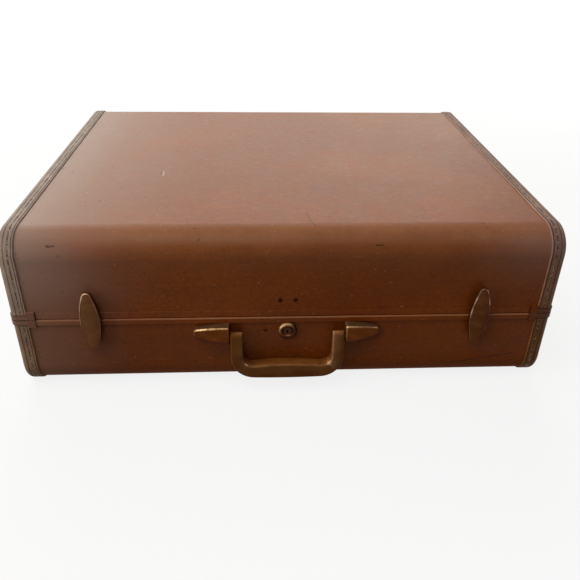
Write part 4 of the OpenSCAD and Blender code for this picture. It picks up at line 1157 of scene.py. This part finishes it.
def make_straps():
    """Two webbing straps that lie on the tray's lining and rise over the buckles' centre bars."""
    low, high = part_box("packing_straps")
    width, thick, round_r = 25 * MM, 1.2 * MM, 0.55 * MM
    bar_half, slope, flat_to, sway_over = 3 * MM, 9 * MM, 30 * MM, 60 * MM
    wave_h, sway_w = 1.2 * MM, 0.8 * MM
    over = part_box("strap_buckles")[1].z - low.z + 0.15 * MM
    y_mid = (low.y + high.y) / 2
    section = rounded_section(width / 2, thick / 2, round_r, 3)
    count = 160
    for side_name, x_mid in (("left", low.x + width / 2), ("right", high.x - width / 2)):
        mesh = bmesh.new()
        rings = []
        for i in range(count + 1):
            y = low.y + (high.y - low.y) * i / count
            away = abs(y - y_mid)
            rise = over * (1 - min(1.0, max(0.0, (away - bar_half) / slope))) ** 2
            wave = max(0.0, noise.noise(Vector((x_mid * 50, y * 16, 3)))) * wave_h if away > flat_to else 0.0
            sway = noise.noise(Vector((x_mid * 50, y * 5, 9))) * sway_w * min(1.0, away / sway_over)
            z = low.z + thick / 2 + rise + wave
            rings.append(add_ring(mesh, [(x_mid + sway + a, y, z + b) for a, b in section]))
        add_tube(mesh, rings)
        strap = make_piece(f"{side_name}_packing_strap", mesh, "webbing", "tray", 60)
        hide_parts("packing_straps")


# Stage and light

def make_stage():
    """Pale floor that looks white to the camera and keeps the shadow."""
    half, sunk, grey = 9, 0.1 * MM, 0.15
    mesh = bmesh.new()
    bmesh.ops.create_grid(mesh, x_segments=1, y_segments=1, size=half)
    data = bpy.data.meshes.new("floor")
    mesh.to_mesh(data)
    mesh.free()
    floor = add_object("floor", data)
    floor.location.z = -sunk
    f = Finish("floor")
    glow = f.ramp(f.vector("LENGTH", f.place), 0.5, 2.4, 0.84, 0.985)
    f.set(Base_Color=(grey, grey, grey), Roughness=1.0, Specular_IOR_Level=0.0)
    f.set(Emission_Color=(1, 1, 1), Emission_Strength=f.times(f.seen_ray(), glow))
    data.materials.append(f.material)


def make_world():
    """White to the camera, and a dim even light on the part."""
    world = bpy.data.worlds.new("studio")
    bpy.context.scene.world = world
    world.use_nodes = True
    nodes = Nodes(world.node_tree)
    back = nodes.tree.nodes["Background"]
    inputs = {"Value": nodes.seen_ray(), "To Min": 0.10, "To Max": 1.0}
    nodes.feed(back.inputs["Color"], (1, 1, 1))
    nodes.feed(back.inputs["Strength"], nodes.made("ShaderNodeMapRange", 0, inputs))


def soft_box(name, place, size, radiance, colour):
    """Area lamp of that size in metres, turned to the case."""
    target = Vector((0, 0, 0.15))
    lamp = bpy.data.lights.new(name, "AREA")
    lamp.shape = "RECTANGLE"
    lamp.size, lamp.size_y = size
    lamp.energy = radiance * math.pi * size[0] * size[1]
    lamp.color = colour
    holder = add_object(name, lamp)
    holder.location = place
    holder.rotation_euler = (target - Vector(place)).to_track_quat("-Z", "Y").to_euler()
    holder.visible_camera = False


def light_studio():
    """Two windows behind the case, a lamp above its front and a weaker one at its left."""
    daylight = (0.97, 1.0, 0.88)
    soft_box("back_window", (-0.3, 2.6, 1.8), (3.8, 1.7), 3.6, daylight)
    soft_box("upper_window", (-0.5, 1.75, 2.75), (3.2, 1.1), 1.4, daylight)
    soft_box("overhead", (-0.75, -0.6, 1.9), (2.0, 0.9), 3.5, (1.0, 0.98, 0.93))
    soft_box("left_fill", (-2.2, -1.2, 0.9), (1.2, 1.2), 3.0, (1.0, 0.95, 0.9))


aim_camera()
dress_nodes()
make_handle()
make_bracket(-1, "left_handle_bracket")
make_bracket(1, "right_handle_bracket")
make_leaf("left")
make_leaf("right")
make_bezel()
make_stitching()
make_lining("tray", "tray_lining", gap_x=(-32 * MM, 17 * MM), gap_z=(65 * MM, part_z))
make_lining("lid", "lid_lining", gap_x=(-15.5 * MM, 15.5 * MM), gap_z=(part_z, part_z + 29 * MM))
make_straps()
make_stage()
make_world()
light_studio()
bpy.context.scene.view_settings.view_transform = "Standard"
